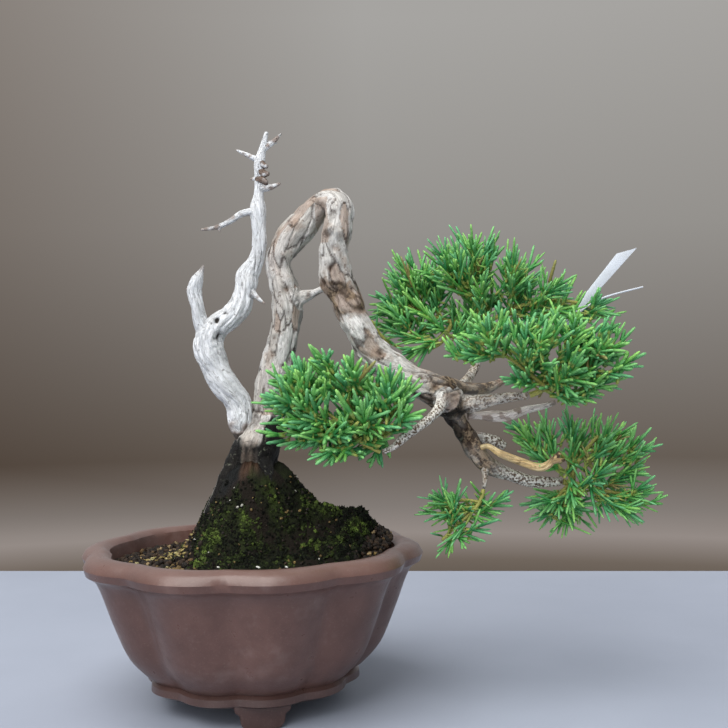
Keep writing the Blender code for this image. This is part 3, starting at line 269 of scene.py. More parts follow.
SPRAYS = {
    "spray_front": {
        "seed": 3, "fill": 8, "fan": 8.0, "whorls": 4, "shoot_length": 7.5, "shoot_radius": 0.9,
        "loose_shoots": 280, "cord_width": 0.7,
        "stems": [
            [(45.2, -30.1, 88.8, 0.7), (39.3, -31, 91.9, 0.7), (34.1, -31, 96.8, 0.7),
             (28.3, -30, 101.4, 0.6), (21.1, -30, 105.4, 0.5)],
            [(34.1, -31, 96.8, 0.7), (25.1, -33, 94.5, 0.5), (15.9, -31, 96.4, 0.5)],
            [(39.3, -31, 91.9, 0.7), (45.2, -29, 97.9, 0.5), (50.6, -28, 103.1, 0.5)],
            [(34.1, -31, 96.8, 0.7), (35.5, -30, 104.6, 0.5), (34.2, -29, 111.8, 0.5)],
        ],
        "tips": [
            (23, -30, 124), (17, -33, 122), (11, -30, 115), (7, -30, 108), (3, -30, 105), (7, -31, 102),
            (37, -30, 122), (42, -27, 118), (29, -28, 118), (49, -28, 118), (55, -28, 115),
            (59, -28, 113), (60, -27, 103), (56, -27, 99), (15, -31, 91), (22, -32, 87),
            (31, -33, 87), (42, -32, 83), (52, -30, 97),
        ],
        "cushions": [
            (21, -30, 110, 14, 15, 13), (34, -31, 109, 14, 17, 13), (48, -29, 108, 12, 13, 10),
            (19, -31, 97, 14, 13, 8), (34, -31, 94, 14, 14, 8),
        ],
    },
    "spray_back": {
        "seed": 5, "fill": 12, "fan": 9.0, "whorls": 4, "shoot_length": 9.0, "shoot_radius": 0.8,
        "loose_shoots": 400, "cord_width": 0.58,
        "stems": [
            [(84.5, 17.4, 125.4, 1.0), (84.8, 20, 132, 1.0), (82.6, 20, 140.3, 0.8), (80.5, 20, 148.6, 0.7)],
            [(84.8, 20, 132, 0.9), (73.7, 22, 133.8, 0.8), (61.6, 22, 137.7, 0.6), (54.1, 22, 142.3, 0.6)],
            [(84.8, 20, 132, 0.9), (97.6, 22, 138.8, 0.8), (110.9, 22, 141.7, 0.7), (124.1, 22, 140, 0.6)],
            [(73.7, 22, 133.8, 0.8), (68.6, 16, 125.3, 0.7), (58.8, 14, 122.7, 0.6),
             (48.4, 14, 126.9, 0.6), (43, 14, 134.4, 0.5)],
        ],
        "tips": [
            (80, 20, 169), (90, 20, 167), (72, 22, 165), (64, 20, 164), (56, 20, 159), (50, 22, 158),
            (96, 20, 164), (102, 22, 160), (111, 24, 151), (119, 22, 150), (133, 24, 146),
            (138, 22, 139), (136, 24, 135), (42, 18, 144), (41, 14, 136), (46, 22, 142),
            (48, 22, 150), (41, 14, 130), (52, 15, 118),
        ],
        "cushions": [
            (81, 21, 151, 23, 19, 18), (59, 22, 146, 15, 16, 16), (104, 24, 146, 16, 17, 14),
            (125, 24, 139, 14, 14, 9), (51, 18, 135, 9, 10, 9), (80, 24, 134, 14, 13, 8),
        ],
    },
    "spray_right": {
        "seed": 7, "fill": 10, "fan": 8.0, "whorls": 4, "shoot_length": 7.5, "shoot_radius": 0.85,
        "loose_shoots": 280, "cord_width": 0.66,
        "stems": [
            [(96.7, -15.1, 106.5, 1.1), (102.1, -16, 108.9, 0.9), (105.8, -18, 113.6, 0.7),
             (108.2, -20, 119, 0.6)],
            [(102.1, -16, 108.9, 0.8), (111.3, -19, 110.2, 0.7), (119.6, -20, 113.5, 0.6)],
            [(105.8, -18, 113.6, 0.7), (116.3, -20, 118.9, 0.6), (123.7, -20, 121.5, 0.5)],
            [(102.1, -16, 108.9, 0.7), (93, -18, 116.5, 0.6), (84.7, -20, 122, 0.5), (76, -20, 125.4, 0.5)],
        ],
        "tips": [
            (133, -20, 120), (129, -20, 112), (122, -20, 105), (117, -18, 104), (67, -20, 120),
            (70, -20, 123), (75, -20, 131), (90, -20, 136), (99, -22, 135), (111, -20, 135),
            (120, -20, 133), (126, -20, 130), (129, -22, 125), (107, -17, 104), (89, -18, 110),
            (85, -20, 113),
        ],
        "cushions": [
            (105, -21, 124, 19, 16, 13), (119, -21, 121, 13, 15, 11), (86, -22, 127, 14, 14, 9),
            (112, -20, 112, 15, 14, 7), (73, -21, 123, 7, 8, 5),
        ],
    },
    "spray_lower": {
        "seed": 11, "fill": 3, "fan": 8.0, "whorls": 4, "shoot_length": 9.0, "shoot_radius": 0.75,
        "loose_shoots": 150, "cord_width": 0.52,
        "stems": [
            [(110.6, 0, 75.2, 1.1), (115.9, 0, 74.4, 0.9), (123.7, 0, 72.2, 0.8), (131.5, 0, 70.7, 0.6),
             (137.9, 0, 68.5, 0.6)],
            [(113, 0, 74.8, 0.9), (114.8, -2, 81, 0.8), (118.2, -3, 86.7, 0.7), (122.6, -3, 91.6, 0.6)],
            [(114.8, -2, 81, 0.7), (108.6, 2, 86.4, 0.6), (106, 3, 93.6, 0.6)],
            [(113, 0, 74.8, 0.8), (109.1, 2, 69.6, 0.6), (106.9, 2, 64.3, 0.6)],
            [(118.2, -3, 86.7, 0.7), (127.4, -3, 85.9, 0.6), (135.5, -2, 86.4, 0.5)],
        ],
        "tips": [
            (111, 2, 103), (103, 4, 101), (93, 4, 98), (89, 3, 94), (92, 4, 90), (122, -3, 98),
            (128, -4, 100), (137, -2, 96), (139, -2, 94), (144, 0, 89), (142, 0, 84), (142, 0, 80),
            (144, 0, 72), (146, 0, 67), (142, 2, 59), (136, -3, 62), (128, 2, 58), (119, 3, 58),
            (112, -3, 62), (106, 3, 55), (100, 4, 59), (96, 4, 65), (99, 5, 69), (124, -4, 65),
        ],
        "cushions": [
            (120, -2, 88, 15, 16, 12), (134, -2, 86, 10, 14, 11), (101, 4, 91, 12, 13, 9),
            (135, -1, 71, 11, 15, 11), (117, 1, 64, 14, 14, 7), (101, 4, 64, 6, 9, 6),
        ],
    },
    "spray_hanging": {
        "seed": 13, "fill": 0, "fan": 5.0, "whorls": 4, "shoot_length": 8.0, "shoot_radius": 0.7,
        "loose_shoots": 16, "cord_width": 0.52,
        "stems": [
            [(81.3, -7.2, 73.7, 0.8), (80, -8, 69.4, 0.7), (76.4, -9, 65.4, 0.6), (71.5, -9, 61.3, 0.6),
             (66.6, -9, 56.5, 0.5)],
            [(80, -8, 69.4, 0.6), (74, -6, 69.9, 0.6), (66.3, -5, 68.5, 0.5)],
        ],
        "tips": [
            (58, -6, 72), (57, -8, 65), (60, -9, 57), (64, -9, 51), (72, -9, 50), (76, -10, 57),
            (86, -8, 64), (92, -8, 73), (67, -5, 78), (73, -7, 78), (89, -6, 68), (81, -10, 59),
        ],
        "cushions": [(77, -8, 71, 12, 12, 8), (65, -7, 67, 8, 10, 8), (69, -9, 58, 8, 9, 7)],
    },
}

# Plant tag
TAG_THICK = 0.5
TAG_Y = 20.7
TAG_OUTLINE = [
    (113.5, 130.0), (114.7, 129.0), (121.6, 136.9), (143.7, 160.9), (136.0, 158.8), (119.6, 138.4),
]
# Kept clear of leaves: x, z, half width
TAG_MIDLINE = [(114.4, 129.3, 2.2), (120.8, 138.1, 3.2), (139.8, 159.8, 3.8)]
TAG_TIE = [
    (116.0, TAG_Y, 131.8, 0.35), (123.9, 19.0, 138.7, 0.35), (131.9, 19.2, 142.6, 0.35),
    (145.6, 20.2, 146.1, 0.3),
]


# Working by hand: selecting, shaping and finishing

def take(piece):
    """Select one piece and nothing else."""
    bpy.ops.object.select_all(action="DESELECT")
    piece.select_set(True)
    bpy.context.view_layer.objects.active = piece


def open_edit():
    """Go into edit mode with everything selected."""
    bpy.ops.object.mode_set(mode="EDIT")
    bpy.ops.mesh.select_all(action="SELECT")


def turn_faces_out():
    """Point all faces outwards and leave edit mode."""
    bpy.ops.mesh.select_all(action="SELECT")
    bpy.ops.mesh.normals_make_consistent(inside=False)
    bpy.ops.object.mode_set(mode="OBJECT")


def draw_out(shift):
    """Extrude what is selected along shift."""
    bpy.ops.mesh.extrude_region_move(TRANSFORM_OT_translate={"value": tuple(shift)})


def new_object(name, data):
    """A new object in the scene."""
    made = bpy.data.objects.new(name, data)
    bpy.context.scene.collection.objects.link(made)
    return made


def apply_modifiers(piece):
    """Make a piece's modifiers part of its mesh."""
    take(piece)
    for modifier in list(piece.modifiers):
        bpy.ops.object.modifier_apply(modifier=modifier.name)


def soft_block(outline, shift, softness, segments):
    """A flat outline drawn out to a block, with soft edges."""
    bpy.ops.object.select_all(action="DESELECT")
    bpy.ops.mesh.primitive_circle_add(vertices=len(outline), radius=1, fill_type="NGON")
    block = bpy.context.object
    for vertex, place in zip(block.data.vertices, outline):
        vertex.co = place
    open_edit()
    draw_out(shift)
    turn_faces_out()
    soft = block.modifiers.new("soft_edges", "BEVEL")
    soft.width = softness
    soft.segments = segments
    apply_modifiers(block)
    return block


def select_faces(test):
    """In edit mode, select the faces for which test(middle, normal) is true."""
    work = bmesh.from_edit_mesh(bpy.context.object.data)
    for face in work.faces:
        face.select_set(False)
    for face in work.faces:
        if test(face.calc_center_median(), face.normal):
            face.select_set(True)
    bmesh.update_edit_mesh(bpy.context.object.data)


def put_in_place(piece, name, material, *replaced, slot=None):
    """Move a piece into the frame's metres, with its material, body and CAD nodes; slot is not used."""
    piece.name = name
    piece.data.name = name
    piece.data.transform(INTO_FRAME)
    piece.data.materials.clear()
    piece.data.materials.append(material)
    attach(piece, "root")
    if replaced:
        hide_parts(*replaced)
    return piece


def smoothed(rows, step):
    """Rows of x, y, z and radius, rounded off between the given ones, step apart."""
    rows = numpy.array(rows, float)
    fine = []
    for k in range(len(rows) - 1):
        before, a, b, after = rows[max(k - 1, 0)], rows[k], rows[k + 1], rows[min(k + 2, len(rows) - 1)]
        pieces = max(1, round(float(numpy.linalg.norm((b - a)[:3])) / step))
        for i in range(pieces):
            t = i / pieces
            bend = (2 * a + (b - before) * t + (2 * before - 5 * a + 4 * b - after) * t * t
                    + (3 * a - before - 3 * b + after) * t ** 3)
            fine.append(bend / 2)
    fine.append(rows[-1])
    return numpy.array(fine)


def rod(rows, sides=3):
    """A round rod along rows of x, y, z and radius, from a bevelled curve."""
    curve = bpy.data.curves.new("rod", "CURVE")
    curve.dimensions = "3D"
    curve.bevel_depth = 1.0
    curve.bevel_resolution = sides
    curve.use_fill_caps = True
    line = curve.splines.new("POLY")
    line.points.add(len(rows) - 1)
    for point, row in zip(line.points, rows):
        point.co = (row[0], row[1], row[2], 1)
        point.radius = row[3]
    take(new_object("rod", curve))
    bpy.ops.object.convert(target="MESH")
    return bpy.context.object


def joined(pieces):
    """All pieces in the first one's mesh."""
    take(pieces[0])
    for piece in pieces:
        piece.select_set(True)
    bpy.ops.object.join()
    return bpy.context.object


def shape_of(piece):
    """Points, corners and face sizes of a modelled shape, whose object goes."""
    mesh = piece.data
    points = numpy.zeros(len(mesh.vertices) * 3)
    corners = numpy.zeros(len(mesh.loops), int)
    sizes = numpy.zeros(len(mesh.polygons), int)
    mesh.vertices.foreach_get("co", points)
    mesh.loops.foreach_get("vertex_index", corners)
    mesh.polygons.foreach_get("loop_total", sizes)
    bpy.data.objects.remove(piece)
    return {"points": points.reshape(-1, 3), "corners": corners, "sizes": sizes}


class Copies:
    """Copies of modelled shapes, gathered in one mesh with an attribute for their tones."""

    def __init__(self):
        self.points, self.corners, self.sizes, self.tones = [], [], [], []
        self.count = 0

    def add(self, shape, turn, place, tones):
        """One more copy. turn is a 3 x 3 array, and tones has a row of four for each point."""
        points = shape["points"] @ turn.T + numpy.array(place)
        self.points.append(points)
        self.corners.append(shape["corners"] + self.count)
        self.sizes.append(shape["sizes"])
        self.tones.append(numpy.broadcast_to(numpy.array(tones, float), (len(points), 4)))
        self.count += len(points)

    def piece(self, attribute):
        """The mesh of all the copies."""
        points = numpy.concatenate(self.points)
        corners = numpy.concatenate(self.corners)
        sizes = numpy.concatenate(self.sizes)
        mesh = bpy.data.meshes.new("copies")
        mesh.vertices.add(len(points))
        mesh.vertices.foreach_set("co", points.ravel())
        mesh.loops.add(len(corners))
        mesh.loops.foreach_set("vertex_index", corners)
        mesh.polygons.add(len(sizes))
        mesh.polygons.foreach_set("loop_start", numpy.concatenate([[0], numpy.cumsum(sizes)[:-1]]))
        mesh.polygons.foreach_set("use_smooth", numpy.ones(len(sizes), bool))
        mesh.update(calc_edges=True)
        mesh.validate()
        write_attribute(mesh, attribute, numpy.concatenate(self.tones))
        return new_object("copies", mesh)


def write_attribute(mesh, name, values):
    """Store a colour or a vector for each point of a mesh."""
    values = numpy.asarray(values, float)
    kind, field = ("FLOAT_COLOR", "color") if values.shape[1] == 4 else ("FLOAT_VECTOR", "vector")
    mesh.attributes.new(name, kind, "POINT").data.foreach_set(field, values.ravel())


def turn_to(direction, roll, width, length):
    """A 3 x 3 array that stands a shape along +Z up along a direction."""
    along = Vector(direction).normalized()
    side = along.orthogonal().normalized()
    other = along.cross(side)
    across = side * math.cos(roll) + other * math.sin(roll)
    third = along.cross(across)
    return numpy.array([across * width, third * width, along * length]).T


def any_way(dice, reach):
    """A random vector, up to reach along each axis."""
    return Vector([dice.uniform(-reach, reach) for _ in range(3)])


def soft_step(value, low, high):
    """0 under low, 1 over high, and smooth between."""
    t = min(1.0, max(0.0, (value - low) / (high - low)))
    return t * t * (3 - 2 * t)


# Finishes

def tint(code):
    """A screen colour such as 8B776B as linear red, green, blue and 1."""
    values = [int(code[i:i + 2], 16) / 255 for i in (0, 2, 4)]
    return (*[v / 12.92 if v <= 0.04045 else ((v + 0.055) / 1.055) ** 2.4 for v in values], 1.0)


def node(tree, kind, inputs=None, **settings):
    """Add a node. An input takes a value or the socket that feeds it."""
    made = tree.nodes.new(kind)
    for key, value in settings.items():
        setattr(made, key, value)
    for key, value in (inputs or {}).items():
        if isinstance(value, bpy.types.NodeSocket):
            tree.links.new(value, made.inputs[key])
        else:
            made.inputs[key].default_value = value
    return made


def new_finish(name, **values):
    """A material, its tree, its shader with constants set on the sockets, and the place in the object."""
    material = bpy.data.materials.new(name)
    material.use_nodes = True
    tree = material.node_tree
    shader = tree.nodes["Principled BSDF"]
    for key, value in values.items():
        shader.inputs[key.replace("_", " ")].default_value = value
    return material, tree, shader, node(tree, "ShaderNodeTexCoord").outputs["Object"]


def new_group(name, inputs, outputs):
    """An empty node group with named sockets: name, kind and, for inputs, the usual value."""
    tree = bpy.data.node_groups.new(name, "ShaderNodeTree")
    for label, kind, value in inputs:
        socket = tree.interface.new_socket(label, in_out="INPUT", socket_type=kind)
        if value is not None:
            socket.default_value = value
    for label, kind in outputs:
        tree.interface.new_socket(label, in_out="OUTPUT", socket_type=kind)
    return tree, tree.nodes.new("NodeGroupInput"), tree.nodes.new("NodeGroupOutput")


def blend_colors(tree, share, low, high):
    """Colour low where share is 0, high where it is 1. Each is a socket or a screen colour."""
    low, high = [tint(color) if isinstance(color, str) else color for color in (low, high)]
    mix = node(tree, "ShaderNodeMix", {0: share, 6: low, 7: high}, data_type="RGBA")
    return mix.outputs[2]


def remap(tree, value, low, high, to_low=0.0, to_high=1.0):
    """Stretch a value from one range to another, and stop at its ends."""
    made = node(tree, "ShaderNodeMapRange",
                {"Value": value, "From Min": low, "From Max": high, "To Min": to_low, "To Max": to_high})
    return made.outputs["Result"]


def math_node(tree, operation, a, b=0.0):
    return node(tree, "ShaderNodeMath", {0: a, 1: b}, operation=operation).outputs[0]


def times(tree, a, b):
    return math_node(tree, "MULTIPLY", a, b)


def stain(tree, color, mask, share, code):
    """Lay a screen colour over a colour where the mask is, at a share of its strength."""
    return blend_colors(tree, times(tree, mask, share), color, code)


def mottle_group():
    """Soft irregular patches."""
    tree, inside, outside = new_group(
        "mottle",
        [("Vector", "NodeSocketVector", None), ("Scale", "NodeSocketFloat", 100.0),
         ("Low", "NodeSocketFloat", 0.35), ("High", "NodeSocketFloat", 0.65)],
        [("Mask", "NodeSocketFloat"), ("Height", "NodeSocketFloat")])
    place, scale, low, high = list(inside.outputs)[:4]
    cloud = node(tree, "ShaderNodeTexNoise",
                 {"Vector": place, "Scale": scale, "Detail": 4.0, "Roughness": 0.6})
    tree.links.new(remap(tree, cloud.outputs["Fac"], low, high), outside.inputs["Mask"])
    tree.links.new(cloud.outputs["Fac"], outside.inputs["Height"])
    return tree


def grain_group():
    """Streaks and narrow cracks that run along a limb."""
    tree, inside, outside = new_group(
        "limb_grain",
        [("Vector", "NodeSocketVector", None), ("Scale", "NodeSocketFloat", 1.0),
         ("Crack Width", "NodeSocketFloat", 0.04)],
        [("Streak", "NodeSocketFloat"), ("Crack", "NodeSocketFloat"), ("Height", "NodeSocketFloat")])
    flow, scale, crack_width = list(inside.outputs)[:3]
    vector = node(tree, "ShaderNodeVectorMath", {0: flow, "Scale": scale}, operation="SCALE").outputs[0]
    broad, fine, split = [
        node(tree, "ShaderNodeTexNoise", {"Vector": vector, **values}).outputs["Fac"]
        for values in ({"Scale": 0.5, "Detail": 5.0, "Roughness": 0.65},
                       {"Scale": 1.7, "Detail": 3.0, "Roughness": 0.7},
                       {"Scale": 0.8, "Detail": 2.0, "Distortion": 0.6})]
    off = math_node(tree, "ABSOLUTE", math_node(tree, "SUBTRACT", split, 0.5))
    crack = remap(tree, off, 0.0, crack_width, 1.0, 0.0)
    both = math_node(tree, "ADD", times(tree, broad, 0.6), times(tree, fine, 0.4))
    height = math_node(tree, "SUBTRACT", both, times(tree, crack, 0.35))
    tree.links.new(remap(tree, both, 0.32, 0.68), outside.inputs["Streak"])
    tree.links.new(crack, outside.inputs["Crack"])
    tree.links.new(height, outside.inputs["Height"])
    return tree


MOTTLE = mottle_group()
GRAIN = grain_group()


def mottle(tree, place, scale, low, high):
    """Mask and height of soft patches of one size."""
    inputs = {"Vector": place, "Scale": scale, "Low": low, "High": high}
    return tuple(node(tree, "ShaderNodeGroup", inputs, node_tree=MOTTLE).outputs)


def limb_grain(tree, scale, crack_width):
    """Streak, crack and height of the grain that runs along the limbs."""
    flow = node(tree, "ShaderNodeAttribute", attribute_name="grain").outputs["Vector"]
    inputs = {"Vector": flow, "Scale": scale, "Crack Width": crack_width}
    return tuple(node(tree, "ShaderNodeGroup", inputs, node_tree=GRAIN).outputs)


def channels(tree, name):
    """Red, green, blue and alpha of a stored attribute."""
    stored = node(tree, "ShaderNodeAttribute", attribute_name=name)
    parts = node(tree, "ShaderNodeSeparateColor", {"Color": stored.outputs["Color"]})
    return (*parts.outputs, stored.outputs["Alpha"])


def feed_shader(tree, shader, color, roughness, height, distance, strength=1.0):
    """Feed the shader its colour, its roughness where that varies, and relief from a height."""
    tree.links.new(color, shader.inputs["Base Color"])
    if roughness is not None:
        tree.links.new(roughness, shader.inputs["Roughness"])
    relief = node(tree, "ShaderNodeBump", {"Height": height, "Distance": distance, "Strength": strength})
    tree.links.new(relief.outputs["Normal"], shader.inputs["Normal"])


def stoneware_finish():
    """Unglazed red-brown clay with a soft sheen, paler on the lip from wear and from painted light from
    above, darker at the foot.
    """
    material, tree, shader, place = new_finish("stoneware_finish", Specular_IOR_Level=0.5)
    clouds, _ = mottle(tree, place, 34.0, 0.3, 0.7)
    pale_patches, _ = mottle(tree, place, 75.0, 0.58, 0.76)
    stains, stain_height = mottle(tree, place, 190.0, 0.4, 0.75)
    grit, grit_height = mottle(tree, place, 1700.0, 0.56, 0.74)
    lip, foot, _, _ = channels(tree, "pale_lip_and_dark_foot")
    clay = blend_colors(tree, clouds, "553B35", "6B4D45")
    # Paler patches on the clay
    clay = stain(tree, clay, pale_patches, 0.4, "8C7670")
    clay = stain(tree, clay, stains, 0.4, "4A322D")
    # The lip is painted paler, partly wear and partly painted light from above
    lip_wear_and_light = times(tree, lip, remap(tree, stain_height, 0.3, 0.7, 0.45, 1.0))
    clay = stain(tree, clay, lip_wear_and_light, 0.7, "7A625B")
    clay = stain(tree, clay, foot, 0.6, "3C2D2B")
    clay = stain(tree, clay, grit, 0.25, "8E7B70")
    dents = math_node(tree, "ADD", times(tree, grit_height, 0.3), stain_height)
    feed_shader(tree, shader, clay, remap(tree, stain_height, 0.3, 0.7, 0.27, 0.42), dents, 0.00025, 0.6)
    return material


def earth_finish():
    """Damp, dark potting mix."""
    material, tree, shader, place = new_finish("earth_finish", Roughness=0.9, Specular_IOR_Level=0.3)
    crumbs, crumb_height = mottle(tree, place, 420.0, 0.4, 0.65)
    fine, _ = mottle(tree, place, 1600.0, 0.45, 0.6)
    color = stain(tree, blend_colors(tree, crumbs, "17120E", "3A2B1F"), fine, 0.4, "5A4531")
    feed_shader(tree, shader, color, None, crumb_height, 0.0012)
    return material


def grit_finish():
    """Grains of baked clay, pumice and bark, each with its own tone."""
    material, tree, shader, place = new_finish("grit_finish", Roughness=0.75, Specular_IOR_Level=0.35)
    tone = node(tree, "ShaderNodeAttribute", attribute_name="tone")
    pores, pore_height = mottle(tree, place, 1300.0, 0.4, 0.62)
    color = stain(tree, tone.outputs["Color"], pores, 0.45, "2A1F16")
    feed_shader(tree, shader, color, None, pore_height, 0.0004)
    return material


def moss_finish():
    """Dark cushions of moss with green patches and earth between them, and wet bark near the trunk."""
    material, tree, shader, place = new_finish("moss_finish", Specular_IOR_Level=0.15)
    shade, green, earth, wet = channels(tree, "tone")
    patches, _ = mottle(tree, place, 170.0, 0.42, 0.66)
    grains, grain_height = mottle(tree, place, 1500.0, 0.35, 0.7)
    streak, _, flow_height = limb_grain(tree, 1.0, 0.05)
    dark = blend_colors(tree, shade, "040503", "22271C")
    fresh = blend_colors(tree, shade, "1A2A0E", "8FAA4E")
    share = times(tree, remap(tree, patches, 0.0, 1.0, 0.35, 1.0), green)
    color = blend_colors(tree, share, dark, fresh)
    color = blend_colors(tree, earth, color, "1E1714")
    color = stain(tree, color, grains, 0.35, "0A0B08")
    bark = stain(tree, blend_colors(tree, streak, "050505", "181C1F"), patches, 0.5, "1C1A12")
    run = times(tree, green, remap(tree, streak, 0.0, 1.0, 1.0, 0.45))
    bark = blend_colors(tree, run, bark, "4F392B")
    color = blend_colors(tree, wet, color, bark)
    height = math_node(tree, "ADD", grain_height, times(tree, flow_height, wet))
    feed_shader(tree, shader, color, remap(tree, wet, 0.0, 1.0, 0.9, 0.45), height, 0.0007)
    return material


def bark_finish():
    """Grey plates of bark, tan where they came off, a dead strip, rough and scaly limbs, a wet foot, painted
    shade at the junction and a painted highlight on a root.
    """
    material, tree, shader, place = new_finish("bark_finish", Specular_IOR_Level=0.2)
    damp_and_shade, scaly, peeled, grey = channels(tree, "zones")
    edge, tone, hollow, rough = channels(tree, "plates")
    streak, _, strip_height = limb_grain(tree, 1.0, 0.02)
    fibre, fibre_crack, fibre_height = limb_grain(tree, 2.6, 0.06)
    clouds, cloud_height = mottle(tree, place, 110.0, 0.4, 0.62)
    rust, _ = mottle(tree, place, 160.0, 0.52, 0.66)
    flakes, _ = mottle(tree, place, 380.0, 0.47, 0.54)
    chips, _ = mottle(tree, place, 620.0, 0.6, 0.66)
    flecks, fleck_height = mottle(tree, place, 1250.0, 0.43, 0.54)
    color = blend_colors(tree, tone, "D6D3CD", "FCFBF9")
    color = stain(tree, color, streak, 0.4, "8B857B")
    color = stain(tree, color, rust, 0.45, "9C8068")
    tan = blend_colors(tree, streak, "6E4E37", "BDA189")
    color = blend_colors(tree, times(tree, peeled, 0.85), color, tan)
    dark_bark = blend_colors(tree, flakes, "3A2C20", "B49C80")
    dark_bark = stain(tree, dark_bark, streak, 0.6, "4E3E2F")
    color = blend_colors(tree, rough, color, dark_bark)
    # Grey dead wood; this channel also carries a painted highlight down a root
    dead = blend_colors(tree, fibre, "75706C", "D2CFCA")
    color = blend_colors(tree, grey, color, dead)
    color = stain(tree, color, fibre_crack, 0.35, "5C4A40")
    color = stain(tree, color, chips, 0.55, "5A4638")
    crack = times(tree, edge, remap(tree, cloud_height, 0.4, 0.55, 0.0, 0.9))
    color = blend_colors(tree, crack, color, "35271F")
    color = stain(tree, color, hollow, 0.8, "3A281E")
    color = blend_colors(tree, scaly, color, blend_colors(tree, flecks, "665342", "F2EEE5"))
    # Wet bark for the foot, also used for the painted shade under limbs and in the cavity at the junction
    wet = blend_colors(tree, clouds, "070605", "191511")
    wet = stain(tree, wet, streak, 0.4, "15181A")
    wet = stain(tree, wet, chips, 0.6, "7A7C6C")
    color = blend_colors(tree, damp_and_shade, color, wet)
    height = math_node(tree, "ADD", times(tree, strip_height, 0.6), times(tree, fibre_height, 0.5))
    rugged = times(tree, fleck_height, math_node(tree, "ADD", scaly, damp_and_shade))
    height = math_node(tree, "ADD", height, rugged)
    feed_shader(tree, shader, color, remap(tree, damp_and_shade, 0.0, 1.0, 0.75, 0.55), height, 0.0006)
    return material


def bleached_finish(name, low, high, spots, spot_share):
    """Bare weathered wood: silvery streaks, dark checks and stained ends."""
    material, tree, shader, place = new_finish(name, Roughness=0.65, Specular_IOR_Level=0.3)
    dark, brown, _, _ = channels(tree, "zones")
    streak, strip_crack, strip_height = limb_grain(tree, 1.3, 0.012)
    _, fibre_crack, fibre_height = limb_grain(tree, 3.2, 0.05)
    clouds, _ = mottle(tree, place, 130.0, 0.5, 0.72)
    pits, _ = mottle(tree, place, 620.0, 0.64, 0.7)
    color = stain(tree, blend_colors(tree, streak, low, high), clouds, spot_share, spots)
    darker = blend_colors(tree, 0.5, spots, "5A524B")
    color = blend_colors(tree, times(tree, fibre_crack, 0.3), color, darker)
    color = blend_colors(tree, times(tree, strip_crack, 0.75), color, darker)
    color = stain(tree, color, pits, 0.6, "4A423B")
    color = blend_colors(tree, brown, color, "7C5F49")
    color = blend_colors(tree, dark, color, "35302C")
    height = math_node(tree, "ADD", strip_height, times(tree, fibre_height, 0.4))
    feed_shader(tree, shader, color, None, height, 0.0008)
    return material


def leaf_finish():
    """Scale leaves: darker bluish green towards each cord's foot as painted shade, light at the tips from
    fresh growth and a painted highlight, yellow and brown at the foot.
    """
    material, tree, shader, place = new_finish("leaf_finish", Roughness=0.5, Specular_IOR_Level=0.4)
    age, hue, dry, _ = channels(tree, "leaf")
    clouds, _ = mottle(tree, place, 70.0, 0.4, 0.6)
    scales, scale_height = mottle(tree, place, 1100.0, 0.38, 0.62)
    # Darker towards each cord's foot as painted shade; the light tips are fresh growth and partly a painted
    # highlight
    deep_and_shaded = stain(tree, blend_colors(tree, hue, "207539", "58A63F"), clouds, 0.35, "3E9A62")
    fresh = blend_colors(tree, hue, "7CCB8D", "A2DC70")
    color = blend_colors(tree, remap(tree, age, 0.35, 1.0), deep_and_shaded, fresh)
    color = blend_colors(tree, remap(tree, age, 0.24, 0.05), color, "AEB25A")
    color = stain(tree, color, scales, 0.3, "1A5F30")
    color = blend_colors(tree, dry, color, "9A7748")
    feed_shader(tree, shader, color, None, scale_height, 0.0004)
    return material


def tag_finish():
    """Blank white plastic, a little grimy in patches."""
    material, tree, shader, place = new_finish("tag_finish", Roughness=0.42)
    grime, grime_height = mottle(tree, place, 160.0, 0.45, 0.8)
    _, scuff_height = mottle(tree, place, 1400.0, 0.4, 0.7)
    color = blend_colors(tree, times(tree, grime, 0.35), "CDD3DC", "B4B3AC")
    gloss = remap(tree, scuff_height, 0.3, 0.7, 0.35, 0.55)
    feed_shader(tree, shader, color, gloss, grime_height, 0.0001, 0.4)
    return material


def net_finish():
    """Black plastic net with dried dirt on it."""
    material, tree, shader, place = new_finish("net_finish", Roughness=0.5)
    dirt, dirt_height = mottle(tree, place, 400.0, 0.4, 0.7)
    feed_shader(tree, shader, blend_colors(tree, dirt, "161616", "3A3027"), None, dirt_height, 0.0001)
    return material


def table_finish():
    """Pale blue-grey table top with a fine speckle."""
    material, tree, shader, place = new_finish("table_finish", Roughness=0.6, Specular_IOR_Level=0.3)
    clouds, _ = mottle(tree, place, 9.0, 0.3, 0.7)
    specks, speck_height = mottle(tree, place, 1500.0, 0.35, 0.65)
    color = stain(tree, blend_colors(tree, clouds, "9CA3B2", "A4ABBA"), specks, 0.25, "969CAB")
    feed_shader(tree, shader, color, None, speck_height, 0.0001, 0.5)
    return material


# Pot

def lobed(radius, depth, angle):
    """Radius of a round wall drawn in to a soft crease between its lobes."""
    swell = math.sqrt(math.sin(LOBES / 2 * (angle - LOBE_TURN)) ** 2 + LOBE_SOFTNESS)
    return radius - depth * (1 - min(1.0, swell))


